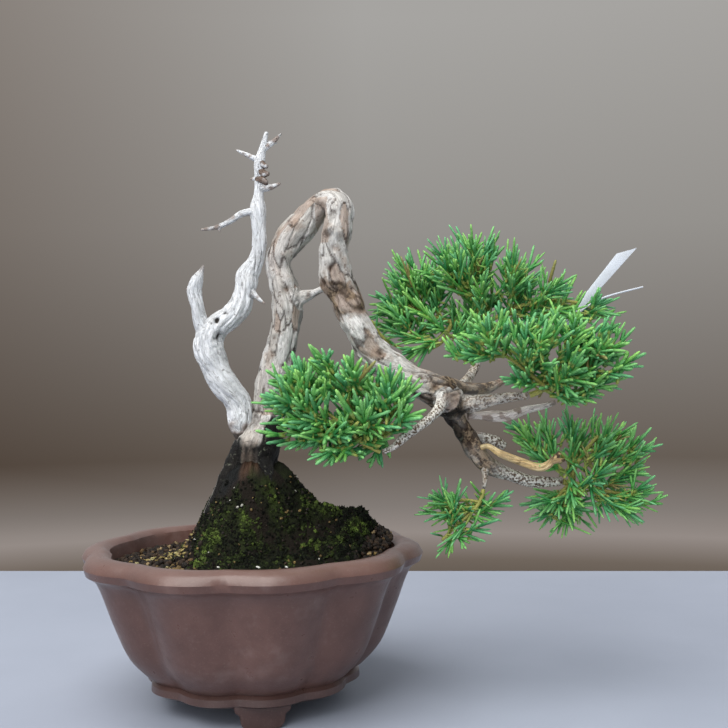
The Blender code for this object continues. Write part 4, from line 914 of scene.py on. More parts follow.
def make_pot(material):
    """The bowl is spun from its outline and pressed into lobes, then gets its three feet."""
    outline = smoothed([(r, 0, z, depth) for r, z, depth in POT_OUTLINE], 2.0)
    bpy.ops.object.select_all(action="DESELECT")
    bpy.ops.mesh.primitive_plane_add(size=1)
    bowl = bpy.context.object
    open_edit()
    bpy.ops.mesh.merge(type="CENTER")
    bpy.ops.transform.translate(value=tuple(outline[0][:3]))
    for start, end in zip(outline, [*outline[1:], outline[0]]):
        draw_out((end - start)[:3])
    bpy.ops.mesh.select_all(action="SELECT")
    bpy.ops.mesh.spin(steps=POT_STEPS, angle=2 * math.pi, center=(0, 0, 0), axis=(0, 0, 1))
    bpy.ops.mesh.select_all(action="SELECT")
    bpy.ops.mesh.remove_doubles(threshold=0.01)
    turn_faces_out()
    depths = KDTree(len(outline))
    for k, row in enumerate(outline):
        depths.insert((row[0], 0, row[2]), k)
    depths.balance()
    for vertex in bowl.data.vertices:
        x, y, z = vertex.co
        radius, angle = math.hypot(x, y), math.atan2(y, x)
        _, k, _ = depths.find((radius, 0, z))
        waver = 0.25 * noise.noise((x * 0.05, y * 0.05, z * 0.05)) * min(1.0, radius / 30)
        reach = lobed(radius, outline[k][3], angle) + waver
        vertex.co = (reach * math.cos(angle), reach * math.sin(angle), z)
    feet = [make_foot(FOOT_TURN + 2 * math.pi * k / FEET) for k in range(FEET)]
    pot = fused(bowl, feet)
    take(pot)
    bpy.ops.object.shade_smooth_by_angle(angle=math.radians(40))
    # Where the lip is painted paler (wear and painted light from above) and where the foot is darker
    pale_lip_and_dark_foot = []
    for vertex in pot.data.vertices:
        x, y, z = vertex.co
        lip = soft_step(z, *LIP_HEIGHTS) * soft_step(math.hypot(x, y), *LIP_RADII)
        pale_lip_and_dark_foot.append((lip, 1 - soft_step(z, *FOOT_HEIGHTS), 0, 1))
    write_attribute(pot.data, "pale_lip_and_dark_foot", pale_lip_and_dark_foot)
    return put_in_place(pot, "pot_stoneware", material, "pot", slot="stoneware")


def make_foot(turn):
    """A cloud foot: its outline drawn out to a block, with soft edges."""
    outline = [(FOOT_RADIUS - FOOT_THICK / 2, across, z) for across, z in FOOT_OUTLINE]
    foot = soft_block(outline, (FOOT_THICK, 0, 0), 0.7, 3)
    foot.data.transform(Matrix.Rotation(turn, 4, "Z"))
    return foot


def fused(piece, parts):
    """Join parts to a piece in one skin."""
    for part in parts:
        union = piece.modifiers.new("union", "BOOLEAN")
        union.operation = "UNION"
        union.object = part
        union.solver = "EXACT"
    apply_modifiers(piece)
    for part in parts:
        bpy.data.objects.remove(part)
    return piece


# Wood

class Limbs:
    """The centre lines of a piece of wood, and where a point of its surface is along them."""

    def __init__(self, paths, step=0.7):
        self.paths = [smoothed(path, step) for path in paths]
        self.rows = []
        for index, path in enumerate(self.paths):
            centres = [Vector(row[:3]) for row in path]
            normal = (centres[1] - centres[0]).orthogonal().normalized()
            length = 0.0
            spans = [(b - a).length for a, b in zip(centres, centres[1:])]
            total = sum(spans)
            for k, centre in enumerate(centres):
                along = (centres[min(k + 1, len(centres) - 1)] - centres[max(k - 1, 0)]).normalized()
                normal = (normal - along * normal.dot(along)).normalized()
                self.rows.append((centre, along, normal, along.cross(normal), length, path[k][3], index,
                                  length / total))
                length += spans[k] if k < len(spans) else 0.0
        self.tree = KDTree(len(self.rows))
        for k, row in enumerate(self.rows):
            self.tree.insert(row[0], k)
        self.tree.balance()

    def locate(self, point):
        """Place across and along the nearest limb, its radius, its number and the share along it."""
        found = self.tree.find_n(point, 8)
        _, k, _ = min(found, key=lambda hit: hit[2] - self.rows[hit[1]][5])
        centre, _, normal, across, length, radius, index, share = self.rows[k]
        offset = point - centre
        return offset.dot(normal), offset.dot(across), length, radius, index, share


def carve_wood(paths, voxel, relief, marks, zone, twist):
    """One skin over all the limbs, cut with grain, hollows and knots."""
    limbs = Limbs(paths)
    wood = joined([rod(path) for path in limbs.paths])
    skin = wood.modifiers.new("skin", "REMESH")
    skin.mode = "VOXEL"
    skin.voxel_size = voxel
    soft = wood.modifiers.new("soft", "SMOOTH")
    soft.factor = 0.5
    soft.iterations = 4
    apply_modifiers(wood)
    mesh = wood.data
    normals = numpy.zeros(len(mesh.vertices) * 3)
    mesh.vertex_normals.foreach_get("vector", normals)
    normals = normals.reshape(-1, 3)
    marks = [(Vector(mark[:3]), mark[3], mark[4]) for mark in marks]
    grains, zones, plates, places = [], [], [], []
    for vertex, normal in zip(mesh.vertices, normals):
        point = vertex.co.copy()
        a, b, length, radius, index, share = limbs.locate(point)
        turn = twist * length
        a, b = a * math.cos(turn) - b * math.sin(turn), a * math.sin(turn) + b * math.cos(turn)
        slim = min(1.0, radius / 3.5)
        cut, edge, tone = relief(a, b, length + 40 * index, point, slim)
        hollow = 0.0
        for centre, width, depth in marks:
            away = (point - centre).length_squared / (width * width)
            if away < 9:
                away *= 1 + 0.75 * noise.noise(point * 0.9)
                cut -= depth * math.exp(-away)
                hollow = max(hollow, math.exp(-away) if depth > 0 else 0.0)
        places.append(point + Vector(normal) * cut)
        grains.append((a, b, length * 0.13 + index * 7))
        found = zone(point, index, share, hollow, Vector(normal), edge, tone)
        plates.append((edge, tone, hollow, found[4] if len(found) > 4 else 0))
        zones.append(found[:4])
    mesh.vertices.foreach_set("co", numpy.array(places).ravel())
    mesh.update()
    mesh.shade_smooth()
    write_attribute(mesh, "grain", grains)
    write_attribute(mesh, "zones", zones)
    write_attribute(mesh, "plates", plates)
    return wood


def bark_relief(a, b, length, point, slim):
    """Height, cracks and tones of bark: long lumps under plates, some of which have come off."""
    lumps = noise.noise(point * 0.11) * 0.9 + noise.noise(point * 0.27) * 0.45
    wander = noise.noise((a * 0.3, b * 0.3, length * 0.09)) * 0.7
    width = 0.22 + 0.2 * (1 - slim)
    distances, centres = noise.voronoi((a * width + wander, b * width, length * 0.07 + wander * 0.4))
    calm = soft_step(point.z, 93, 103) if point.x < 20 else 1.0
    edge = (1 - soft_step(distances[1] - distances[0], 0.0, 0.11)) * calm
    tone = abs(noise.cell(centres[0] * 9.7)) * calm
    fibres = noise.noise((a * 1.4, b * 1.4, length * 0.1)) * 0.2
    fibres += noise.noise((a * 0.5, b * 0.5, length * 0.03)) * 0.5
    off = soft_step(tone, 0.74, 0.78)
    height = 0.2 + lumps * slim + 0.4 * tone * (1 - off) - 0.3 * edge - 0.1 * off + fibres
    return height * slim, edge, tone


def dead_relief(a, b, length, point, slim):
    """Height, furrows and tones of bare wood: smooth ribs, split open in places."""
    lumps = noise.noise(point * 0.13) * 0.7 + noise.noise(point * 0.35) * 0.25
    rib = abs(noise.noise((a * 0.4, b * 0.4, length * 0.04)))
    edge = 1 - soft_step(rib, 0.0, 0.08)
    split = soft_step(noise.noise(point * 0.1 + Vector((5, 0, 0))), 0.05, 0.35)
    fibres = noise.noise((a * 1.6, b * 1.6, length * 0.09)) * 0.2
    fibres += noise.noise((a * 3.2, b * 3.2, length * 0.2)) * 0.12
    height = 0.25 + lumps * slim + rib * 0.8 - 0.9 * edge * split + fibres
    return height * slim, edge * split, noise.noise(point * 0.2) * 0.5 + 0.5


# The zone functions all take the same values, and each uses those that it needs

def live_zone(point, index, share, hollow, normal, edge, tone):
    """Where the bark is wet, scaly, peeled, dead or rough, with painted shade and a painted highlight."""
    x, _, z = point
    patch = noise.noise(point * 0.14)
    ragged = 3.5 * patch + 2.5 * noise.noise((point.x * 0.7, point.y * 0.7, point.z * 0.12))
    # The wet foot, and the brown run down its middle
    foot = 92.5 + ragged + 7.5 * soft_step(x, 3.0, 7.0)
    damp_and_shade = (1 - soft_step(z, foot - 1.5, foot + 1.0)) * (1 if x < 30 else 0)
    side = 0.6 + 0.18 * (z - 78) + 0.25 * ragged
    streak = soft_step(x, -3.6, -2.4) * (1 - soft_step(x, side - 0.6, side + 1.0)) * soft_step(z, 66, 76)
    streak *= soft_step(-normal.y, 0.3, 0.7)
    damp_and_shade *= 1 - streak * min(0.9, 0.16 + 0.08 * ragged + 0.7 * soft_step(z + ragged, 86, 94))
    # Speckled scales on the outer limbs, and rough dark bark round the junction
    scaly = 0.0
    if index in SCALY_LIMBS:
        scaly = soft_step(share, 0.1, 0.3)
    elif index == LOWER_NUMBER:
        scaly = soft_step(share, 0.45, 0.7)
    elif index in HALF_SCALY_LIMBS:
        scaly = 0.45
    rough = soft_step(x + 4 * patch, 56, 64) * (1 - soft_step(scaly, 0.5, 0.9)) * (index in ROUGH_LIMBS)
    # Fallen plates, the peeled end of the top branch, and worn places on the right leg
    peeled = soft_step(tone, 0.74, 0.78) * 0.8
    if index == TOP_NUMBER:
        stripped = soft_step(share, 0.78, 0.88)
        rough *= 1 - stripped
        peeled = max(peeled, stripped)
    if 160 < z < 177 and 23.5 < x < 28.5:
        peeled = max(peeled, 0.65)
    if index == TRUNK_NUMBER and x > 24:
        height = z + 9 * patch + 5 * noise.noise(point * 0.45)
        worn = soft_step(height, 130, 138) * (1 - soft_step(height, 145, 150))
        peeled = max(peeled, 0.85 * worn)
        rough = max(rough, worn * soft_step(noise.noise(point * 0.3), -0.15, 0.2))
    peeled = max(peeled, hollow, streak * (0.9 - 0.7 * soft_step(z, 86, 94)))
    # Dead grey wood: the collar above the foot and a strip up the left leg; a pale line down a root's left
    # side is a painted highlight
    grey = soft_step(z + 1.5 * ragged, 93, 96) * (1 - soft_step(z, 101, 106))
    grey *= 1 - soft_step(x, 1.5, 4.0)
    grey *= soft_step(-normal.y, 0.0, 0.4)
    damp_and_shade *= 1 - grey
    if index == TRUNK_NUMBER and 92 < z < 160 and x < 22 and normal.x > 0:
        grey = max(grey, soft_step(normal.x + 0.35 * normal.y, 0.4, 0.75))
    # Painted highlight: a pale line down the root's left-facing side
    if index == LEFT_ROOT_NUMBER and 66 < z < 84:
        pale = soft_step(-normal.x, 0.78, 0.93)
        damp_and_shade, grey = damp_and_shade * (1 - pale), max(grey, pale)
    # Painted shade at the junction: darker undersides and a dark cavity, laid into the wet foot's channel
    under = soft_step(-normal.z, 0.1, 0.6) * (1 - soft_step(x, 74, 78))
    cavity = 0.7 * (1 - soft_step(math.hypot(x - 71, z - 102.5), 2.5, 5.5)) * soft_step(-normal.y, 0, 0.3)
    damp_and_shade = max(damp_and_shade, rough * max(0.85 * under * soft_step(x, 62, 66), cavity))
    return (damp_and_shade, scaly * (1 - damp_and_shade), peeled * (1 - scaly), grey * (1 - damp_and_shade), rough * (0.8 + 0.5 * patch))


def dead_zone(point, index, share, hollow, normal, edge, tone):
    """Hollows and furrows are dark, the ends of the limbs are stained, and the knob limbs get painted shade
    in dark brown patches.
    """
    ends = 0.0
    if index > 0:
        ends = soft_step(share + noise.noise(point * 0.5), 0.3, 0.95)
    if index == SNAPPED_LIMB:
        ends = 0.8 * soft_step(share, 0.8, 1.0)
    # Painted shade: the knob limbs are darkened and browned in patches
    knobs = 0.9 * soft_step(noise.noise(point * 0.6), -0.5, 0.0) * (index in DEAD_KNOBS)
    low = point.z + 5 * noise.noise(point * 0.4)
    dark = 1.6 * soft_step(hollow, 0.2, 0.8) + 0.75 * edge + 0.9 * (1 - soft_step(low, 91.5, 96))
    dark += 0.35 * knobs
    return (min(1.0, dark), max(0.75 * ends, 0.8 * (1 - soft_step(low, 93, 99)), knobs), 0, 1)


def jin_zone(point, index, share, hollow, normal, edge, tone):
    """Stained in patches, and darker at both ends."""
    patch = soft_step(noise.noise(point * 0.3), 0.2, 0.3)
    ends = max(1 - soft_step(share, 0.0, 0.1), soft_step(share, 0.9, 1.0))
    return (0.25 * edge, max(0.6 * patch, 0.7 * ends), 0, 1)


def tan_zone(point, index, share, hollow, normal, edge, tone):
    """Clean peeled wood, dark only at its forked end."""
    patch = soft_step(noise.noise(point * 0.22), 0.2, 0.4)
    blotch = soft_step(patch + noise.noise(point * 0.9), -0.3, 0.2)
    end = max(soft_step(share, 0.74, 0.95) * blotch, 0.6 * (index > 0))
    return (max(0.5 * edge, 0.7 * end * soft_step(share, 0.82, 0.95)), max(0.25 * patch, 0.9 * end), 0, 1)


def make_wood(bark, bleached, ochre):
    """The living trunk, the deadwood and the two stripped branches."""
    live = carve_wood([TRUNK, *LIVE_LIMBS, *SURFACE_ROOTS], BARK_FINENESS, bark_relief, LIVE_MARKS,
                      live_zone, BARK_TWIST)
    put_in_place(live, "trunk_bark", bark, "live_trunk", slot="bark")
    shaft = [*DEADWOOD_FOOT, *DEADWOOD[3:]]
    dead = carve_wood([shaft, *DEADWOOD_LIMBS], DEAD_FINENESS, dead_relief, DEAD_MARKS, dead_zone,
                      DEAD_TWIST)
    put_in_place(dead, "bleached_deadwood", bleached, "deadwood", slot="bleached_wood")
    pale = carve_wood([PALE_JIN], JIN_FINENESS, dead_relief, [], jin_zone, JIN_TWIST)
    cream = bleached_finish("pale_branch_finish", "DDD0C6", "FFFAF5", "8A5E40", 0.25)
    put_in_place(pale, "pale_branch", cream, "jin_pale", slot="bleached_wood")
    slim = [[(x, y, z, radius * 0.84) for x, y, z, radius in path] for path in (TAN_JIN, TAN_JIN_STUB)]
    tan = carve_wood(slim, JIN_FINENESS, dead_relief, [], tan_zone, JIN_TWIST)
    put_in_place(tan, "tan_branch", ochre, "jin_tan", slot="peeled_wood")


# Ground

def mound_height(x, y):
    """Height of the ground: a flat bed with a steep hill and a ridge to the right."""
    height = SOIL_BASE_Z
    for hill_x, hill_y, rise, spread, steepness in HILLS:
        away = ((x - hill_x) ** 2 + (y - hill_y) ** 2) / spread ** 2
        height += rise * math.exp(-away ** steepness)
    away = math.hypot(x - PLUG_X, y)
    fillet = 3.4 - 2.8 * soft_step((x - PLUG_X) / max(away, 1), 0.1, 0.8)
    height += fillet * math.exp(-max(0.0, away - 8.5) / 4.5) * (1 if away < 25 else 0)
    return height + 0.5 * noise.noise((x * 0.13, y * 0.13, 2.0))


def flare_edge(angle):
    """How far the wet bark reaches from the trunk's middle in each direction."""
    return 11.4 - 4.2 * math.cos(angle) - 1.6 * math.sin(angle) + 0.9 * math.sin(5 * angle)


def moss_share(angle):
    """The share of the coat that is moss and not earth, in each direction."""
    return 1 - 0.3 * soft_step(-math.cos(angle), 0.3, 0.9)


def bare_patch(x, y):
    """Where the moss has worn off and shows the dark earth."""
    worn = noise.noise((x * 0.1 + 1.5, y * 0.13, 4)) + 0.35 * noise.noise((x * 0.4, y * 0.4, 4))
    return soft_step(worn, 0.06, 0.2)


def moss_edge(angle):
    """How far the moss reaches from the trunk in each direction."""
    reach = 36 + 6 * math.cos(angle - 0.15) - 3 * math.sin(angle)
    return reach + 1.4 * math.sin(5 * angle + 1) + 1.0 * math.sin(9 * angle)


# Chunky cushions of moss: x, y, width, rise, greenness
MOSS_CUSHIONS = [
    (37.5, -5, 4.2, 4.0, 0.25), (42.6, -3, 3.4, 3.4, 0.2), (40.5, -12, 4.6, 3.2, 0.95),
    (34, -11, 3.6, 2.0, 0.5), (27, -3, 3.8, 1.8, 0.75), (20, -5, 3.4, 1.2, 0.7),
    (31, -17, 4.0, 1.6, 0.45), (21, -15, 4.4, 1.3, 0.6), (1.5, -20, 3.6, 0.8, 0.6),
    (-12.5, -20, 4.6, 1.2, 0.9), (-18, -26, 3.6, 1.2, 0.8), (-4, -28, 3.6, 0.9, 0.3),
    (8.5, -13.5, 3.2, 0.6, 0.65), (14, -24, 3.4, 0.8, 0.5), (25.5, -4, 4.4, 1.2, 1.0),
    (10, 16, 5.0, 1.4, 0.5), (30, 12, 4.6, 2.0, 0.6), (-16, 14, 4.8, 1.4, 0.5), (-24, 0, 4.0, 1.0, 0.4),
]

# Bits that the photo shows one by one: x, y, size, colour
PLACED_BITS = [
    (-29.8, -34, 1.5, "B39A3E"), (13.3, -44, 2.0, "D9DEDC"), (16, -43, 1.3, "C9CFCB"),
    (5, -30, 0.8, "ECECE6"), (6.3, -36, 0.7, "E2E2DC"), (14, -28, 0.65, "E8E8E2"), (9, -33, 1.5, "8D7444"),
    (-2, -38, 1.4, "A9884B"), (-8, -30, 0.6, "D8D8CF"), (22, -34, 0.7, "C8C2B4"), (27, -32, 0.6, "D5D2C8"),
]


def moss_swell(x, y):
    """Height of the moss over the mound, and how green it is."""
    wave = math.sin(0.62 * x + 1.3 * math.sin(0.4 * y)) * math.sin(0.66 * y + 1.1 * math.sin(0.5 * x))
    height = (0.45 + 0.75 * max(0.0, min(1.0, (x - 5) / 30))) * (1.2 * wave + 0.4)
    uneven = noise.noise((x * 0.35, y * 0.35, 9)) + 0.5 * noise.noise((x * 0.9, y * 0.9, 9))
    green = 0.25 + 0.3 * max(0.0, uneven)
    for cx, cy, width, rise, tone in MOSS_CUSHIONS:
        away = ((x - cx) ** 2 + (y - cy) ** 2) / (width * width)
        height += rise * math.exp(-away ** 1.6)
        green = max(green, tone * math.exp(-away * (0.55 if uneven > 0 else 1.2)) * (1.15 + 0.9 * uneven))
    return height, green


def frame_copy(name):
    """A copy of a frame node in millimetres round the pot's axis, with its corners merged."""
    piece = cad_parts[name].copy()
    piece.data = piece.data.copy()
    piece.parent = None
    for key in list(piece.keys()):
        del piece[key]
    bpy.context.scene.collection.objects.link(piece)
    piece.data.transform(Matrix.Scale(1 / MM, 4) @ Matrix.Translation(-POT_CENTRE))
    take(piece)
    open_edit()
    bpy.ops.mesh.remove_doubles(threshold=0.001)
    bpy.ops.object.mode_set(mode="OBJECT")
    return piece


def cut_finer(piece, cuts, test):
    """Divide the faces of a piece that pass the test."""
    take(piece)
    bpy.ops.object.mode_set(mode="EDIT")
    select_faces(test)
    bpy.ops.mesh.subdivide(number_cuts=cuts)
    bpy.ops.object.mode_set(mode="OBJECT")


def make_soil(material):
    """The bed of potting mix, crumbly on top and settled to the mound's real slope."""
    bed = frame_copy("soil")
    cut_finer(bed, 3, lambda middle, normal: normal.z > 0.05 and middle.z > 44)
    for vertex in bed.data.vertices:
        x, y, z = vertex.co
        if z > 46 and vertex.normal.z > 0.05:
            crumbs = noise.noise((x * 0.5, y * 0.5, 4)) * 0.5 + noise.noise((x * 1.3, y * 1.3, 7)) * 0.4
            vertex.co.z = min(z, mound_height(x, y) - SOIL_UNDER_MOSS) + crumbs
    bed.data.shade_smooth()
    put_in_place(bed, "soil_bed", material, "soil", slot="soil")


def make_moss(material):
    """The coat of moss, and thousands of small tufts on it."""
    coat = frame_copy("moss_mound")
    cut_finer(coat, 4, lambda middle, normal: normal.z > 0.1)
    mesh = coat.data
    tones, flow = [], []
    for vertex in mesh.vertices:
        x, y, z = vertex.co
        swell, green = moss_swell(x, y)
        angle, reach = math.atan2(y, x - PLUG_X), math.hypot(x - PLUG_X, y)
        edge = 1 - soft_step(reach / moss_edge(angle), 0.8, 1.0)
        ragged = reach + 1.5 * noise.noise((x * 0.3, y * 0.3, 1))
        wet = 1 - soft_step(ragged, flare_edge(angle) - 2, flare_edge(angle) + 1.5)
        if vertex.normal.z > 0.1:
            grains = noise.noise((x * 0.9, y * 0.9, z * 0.9)) * 0.8
            grains += noise.noise((x * 2.1, y * 2.1, z * 2.1)) * 0.4
            ridges = 0.7 * noise.noise((4 * math.cos(angle), 4 * math.sin(angle), 0))
            ridges += 0.25 * math.sin(23 * angle)
            relief = (swell + grains) * (1 - wet) + ridges * wet
            pull = 1 - 0.16 * (1 - soft_step(reach, PLUG_HOLE, 11.5))
            height = mound_height(x, y) - 0.7 * (1 - edge) + relief * edge
            vertex.co = (PLUG_X + (x - PLUG_X) * pull, y * pull, height)
        else:
            vertex.co.z = min(z, mound_height(x, y) - SOIL_UNDER_MOSS + 0.3)
        run = soft_step(x, -4.0, -2.0) * (1 - soft_step(x, 2.5, 5.0)) * (y < 0)
        green = run * wet + green * (1 - wet)
        open_ground = soft_step(reach / moss_edge(angle), moss_share(angle) - 0.08, moss_share(angle))
        earth = max(0.3, open_ground, 0.9 * bare_patch(x, y))
        tones.append((0.2, green, earth, wet))
        flow.append((x / reach * 7, y / reach * 7, z * 0.12))
    write_attribute(mesh, "tone", tones)
    write_attribute(mesh, "grain", flow)
    mesh.shade_smooth()
    put_in_place(coat, "moss_coat", material, "moss_mound", slot="moss")

    tuft = moss_tuft()
    dice = random.Random(21)
    tufts = Copies()
    for _ in range(MOSS_TUFTS):
        angle = dice.uniform(-math.pi, math.pi)
        share = math.sqrt(dice.uniform(0.03, 1.08))
        reach = PLUG_HOLE * 0.8 + (moss_edge(angle) - PLUG_HOLE * 0.8) * share
        x, y = PLUG_X + reach * math.cos(angle), reach * math.sin(angle)
        swell, green = moss_swell(x, y)
        patch = noise.noise((x * 0.16 + 5, y * 0.16, 0))
        bare = reach < flare_edge(angle) or reach > moss_edge(angle) * moss_share(angle)
        if (bare and dice.random() < 0.93) or dice.random() < 0.75 * bare_patch(x, y) * (x < 30):
            continue
        size = dice.uniform(0.32, 0.78) * (1.6 if x > 30 else 1.25 if green > 0.6 else 1.0)
        slope = Vector((mound_height(x - 0.5, y) - mound_height(x + 0.5, y),
                        mound_height(x, y - 0.5) - mound_height(x, y + 0.5), 1))
        lean = slope.normalized() + any_way(dice, 0.5)
        edge = 1 - soft_step(share, 0.85, 1.05)
        z = mound_height(x, y) + swell * edge + 0.1
        fresh = min(1.0, max(0.0, green * 1.5 - 0.45 + 0.4 * patch + dice.uniform(-0.2, 0.3)))
        tone = (dice.random() ** 1.6, fresh, 0.8 * (dice.random() < 0.1), 0)
        turn = turn_to(lean, dice.uniform(0, 6.28), size, size * dice.uniform(0.8, 1.5))
        tufts.add(tuft, turn, (x, y, z), tone)
    put_in_place(tufts.piece("tone"), "moss_tufts", material, slot="moss")


def moss_tuft():
    """Three small leaning points, one tuft of moss."""
    points = []
    for k in range(3):
        bpy.ops.object.select_all(action="DESELECT")
        turn = 2 * math.pi * k / 3
        bpy.ops.mesh.primitive_cone_add(vertices=4, radius1=0.62, radius2=0.0, depth=1.3,
                                        end_fill_type="NOTHING",
                                        location=(0.32 * math.cos(turn), 0.32 * math.sin(turn), 0.3),
                                        rotation=(-0.5 * math.sin(turn), 0.5 * math.cos(turn), turn))
        bpy.ops.object.transform_apply(location=True, rotation=True, scale=True)
        points.append(bpy.context.object)
    return shape_of(joined(points))


def make_grit(material):
    """Loose grains on the open ground, bits on the moss and dry needles at the left."""
    grains = [grit_grain(seed) for seed in range(3)]
    dice = random.Random(8)
    grit = Copies()
    dark = [tint(code) for code in ("1A1511", "261D16", "31241A", "15110E", "3C2C1E")]
    ochre = [tint(code) for code in ("75603A", "8E7747", "604A2C", "9C8660", "7C6A4C")]
    for _ in range(EDGE_GRAINS):
        angle = dice.uniform(-math.pi, math.pi)
        low = moss_edge(angle) * (moss_share(angle) - 0.12)
        reach = low + (SHORE_RADIUS + 0.6 - low) * math.sqrt(dice.random())
        x, y = reach * math.cos(angle), reach * math.sin(angle)
        if reach > lobed(SHORE_RADIUS + 0.6, 1.5, angle):
            continue
        warm = soft_step(-x, -4, 18) * soft_step(-y, 8, 28)
        color = dice.choice(ochre) if dice.random() < 0.09 + 0.45 * warm else dice.choice(dark)
        size = dice.uniform(0.5, 1.15) * (1 + 0.5 * warm * dice.random())
        place = (x, y, mound_height(x, y) - 0.4 + 0.35 * size)
        grain = dice.choice(grains)
        grit.add(grain, turn_to(any_way(dice, 1), dice.uniform(0, 6), size, size), place, color)
    for x, y, size, code in PLACED_BITS:
        swell, _ = moss_swell(x, y)
        place = (x, y, mound_height(x, y) + max(0.0, swell) * 0.6 + 0.5)
        grit.add(grains[0], turn_to((0.3, 0.2, 1), x, size, size * 0.7), place, tint(code))
    for _ in range(MOSS_CRUMBS):
        angle = dice.uniform(-math.pi, math.pi)
        reach = dice.uniform(14, moss_edge(angle) * 0.92)
        x, y = reach * math.cos(angle), reach * math.sin(angle)
        swell, green = moss_swell(x, y)
        if green > 0.7 or reach < flare_edge(angle):
            continue
        size = dice.uniform(0.25, 0.6)
        color = dice.choice(dark + ochre[:2]) if dice.random() < 0.9 else tint("C9C7BC")
        place = (x, y, mound_height(x, y) + swell * 0.9 + 0.4)
        grain = dice.choice(grains)
        grit.add(grain, turn_to(any_way(dice, 1), 0, size, size), place, color)
    for _ in range(DRY_NEEDLES):
        x, y = dice.gauss(-27, 5), dice.gauss(-3, 7)
        if math.hypot(x, y) > SHORE_RADIUS - 3:
            continue
        way = (dice.uniform(-1, 1), dice.uniform(-1, 1), dice.uniform(-0.1, 0.5))
        color = tint(dice.choice(("968C50", "A89860", "7D6C3E", "B8AE7C")))
        grit.add(grains[1], turn_to(way, 0, dice.uniform(0.25, 0.4), dice.uniform(1.2, 2.2)),
                 (x, y, mound_height(x, y) + 0.7), color)
    put_in_place(grit.piece("tone"), "soil_grit", material, slot="soil")


def grit_grain(seed):
    """A broken grain: a ball of few faces, pushed about."""
    bpy.ops.object.select_all(action="DESELECT")
    bpy.ops.mesh.primitive_ico_sphere_add(subdivisions=2 if seed == 0 else 1, radius=1)
    grain = bpy.context.object
    open_edit()
    bpy.ops.transform.vertex_random(offset=0.22, uniform=0.6, normal=0.0, seed=seed)
    bpy.ops.transform.resize(value=(1.1, 0.85, 0.75), center_override=(0, 0, 0))
    bpy.ops.object.mode_set(mode="OBJECT")
    return shape_of(grain)


# Foliage: the same twigs as the frame's sprays, with a leafy cord for each shoot

def capsules(paths):
    """Straight stretches of rows x, y, z, radius, for measuring clearance."""
    return [(Vector(a[:3]), Vector(b[:3]), max(a[3], b[3])) for path in paths for a, b in zip(path, path[1:])]


class Clearance:
    """Knows the stretches that a new twig or shoot has to stay clear of."""

    def __init__(self, stretches, air):
        self.air = air
        self.rows = numpy.zeros((0, 7))
        for stretch in stretches:
            self.add(*stretch)

    def add(self, start, end, radius):
        """Take one more stretch into account."""
        self.rows = numpy.vstack([self.rows, [*start, *(end - start), radius]])

    def free(self, start, end, radius, root_share=0.0):
        """True if the stretch, past its root, keeps its distance from all the known ones."""
        starts, spans, radii = self.rows[:, :3], self.rows[:, 3:6], self.rows[:, 6]
        lengths = numpy.maximum((spans ** 2).sum(1), 1e-9)
        for step in range(CLEAR_STEPS + 1):
            share = root_share + (1 - root_share) * step / CLEAR_STEPS
            point = numpy.array(start.lerp(end, share))
            along = numpy.clip(((point - starts) * spans).sum(1) / lengths, 0, 1)
            nearest = starts + spans * along[:, None]
            distance = numpy.sqrt(((point - nearest) ** 2).sum(1)) - radii
            if len(distance) and distance.min() < radius + self.air:
                return False
        return True


def cushion_targets(plan, dice):
    """Points spread evenly over the skins of the cushions, outside the other cushions."""
    cushions = plan["cushions"]
    weights = [c[3] * c[5] for c in cushions]
    targets = []
    for cushion, weight in zip(cushions, weights):
        count = math.ceil(plan["fill"] * weight / sum(weights) * 1.5)
        turn = dice.uniform(0, 2 * math.pi)
        for k in range(count):
            up = 1 - 2 * (k + 0.5) / count
            flat = math.sqrt(1 - up * up)
            angle = turn + GOLDEN_ANGLE * k
            share = dice.uniform(*CUSHION_SKIN)
            way = (math.cos(angle) * flat, math.sin(angle) * flat, up)
            point = Vector(cushion[:3]) + Vector([way[i] * cushion[i + 3] for i in range(3)]) * share
            if not any(inside_cushion(point, other) for other in cushions if other is not cushion):
                targets.append(point)
    return targets


def inside_cushion(point, cushion):
    """True well inside a cushion."""
    parts = [(point[i] - cushion[i]) / cushion[i + 3] for i in range(3)]
    return sum(part * part for part in parts) < 0.6


class Twig:
    """A thin stem with a shoot at its tip and whorls of shoots behind it."""

    def __init__(self, root, end, bend, whorls):
        middle = root.lerp(end, 0.5) + bend
        shares = [0.0, BARE_SHARE] if whorls else [0.0]
        shares += [BARE_SHARE + (1 - BARE_SHARE) * (k + 1) / whorls for k in range(whorls)] or [1.0]
        self.rings = [root * (1 - t) ** 2 + middle * 2 * t * (1 - t) + end * t ** 2 for t in shares]
        self.whorls = whorls

    def stretches(self):
        """The twig's straight pieces."""
        return list(zip(self.rings, self.rings[1:]))

    def outward(self, k, side):
        """The way a shoot grows out of one side of the stretch after ring k."""
        rings = self.rings
        along = (rings[min(k + 1, len(rings) - 1)] - rings[max(k - 1, 0)]).normalized()
        normal = (UP - along * UP.dot(along)).normalized()
        across = along.cross(normal)
        angle = 2 * math.pi * (side + 0.5) / 3 + math.pi * (k % 2) / 3
        return along, normal * math.cos(angle) + across * math.sin(angle)


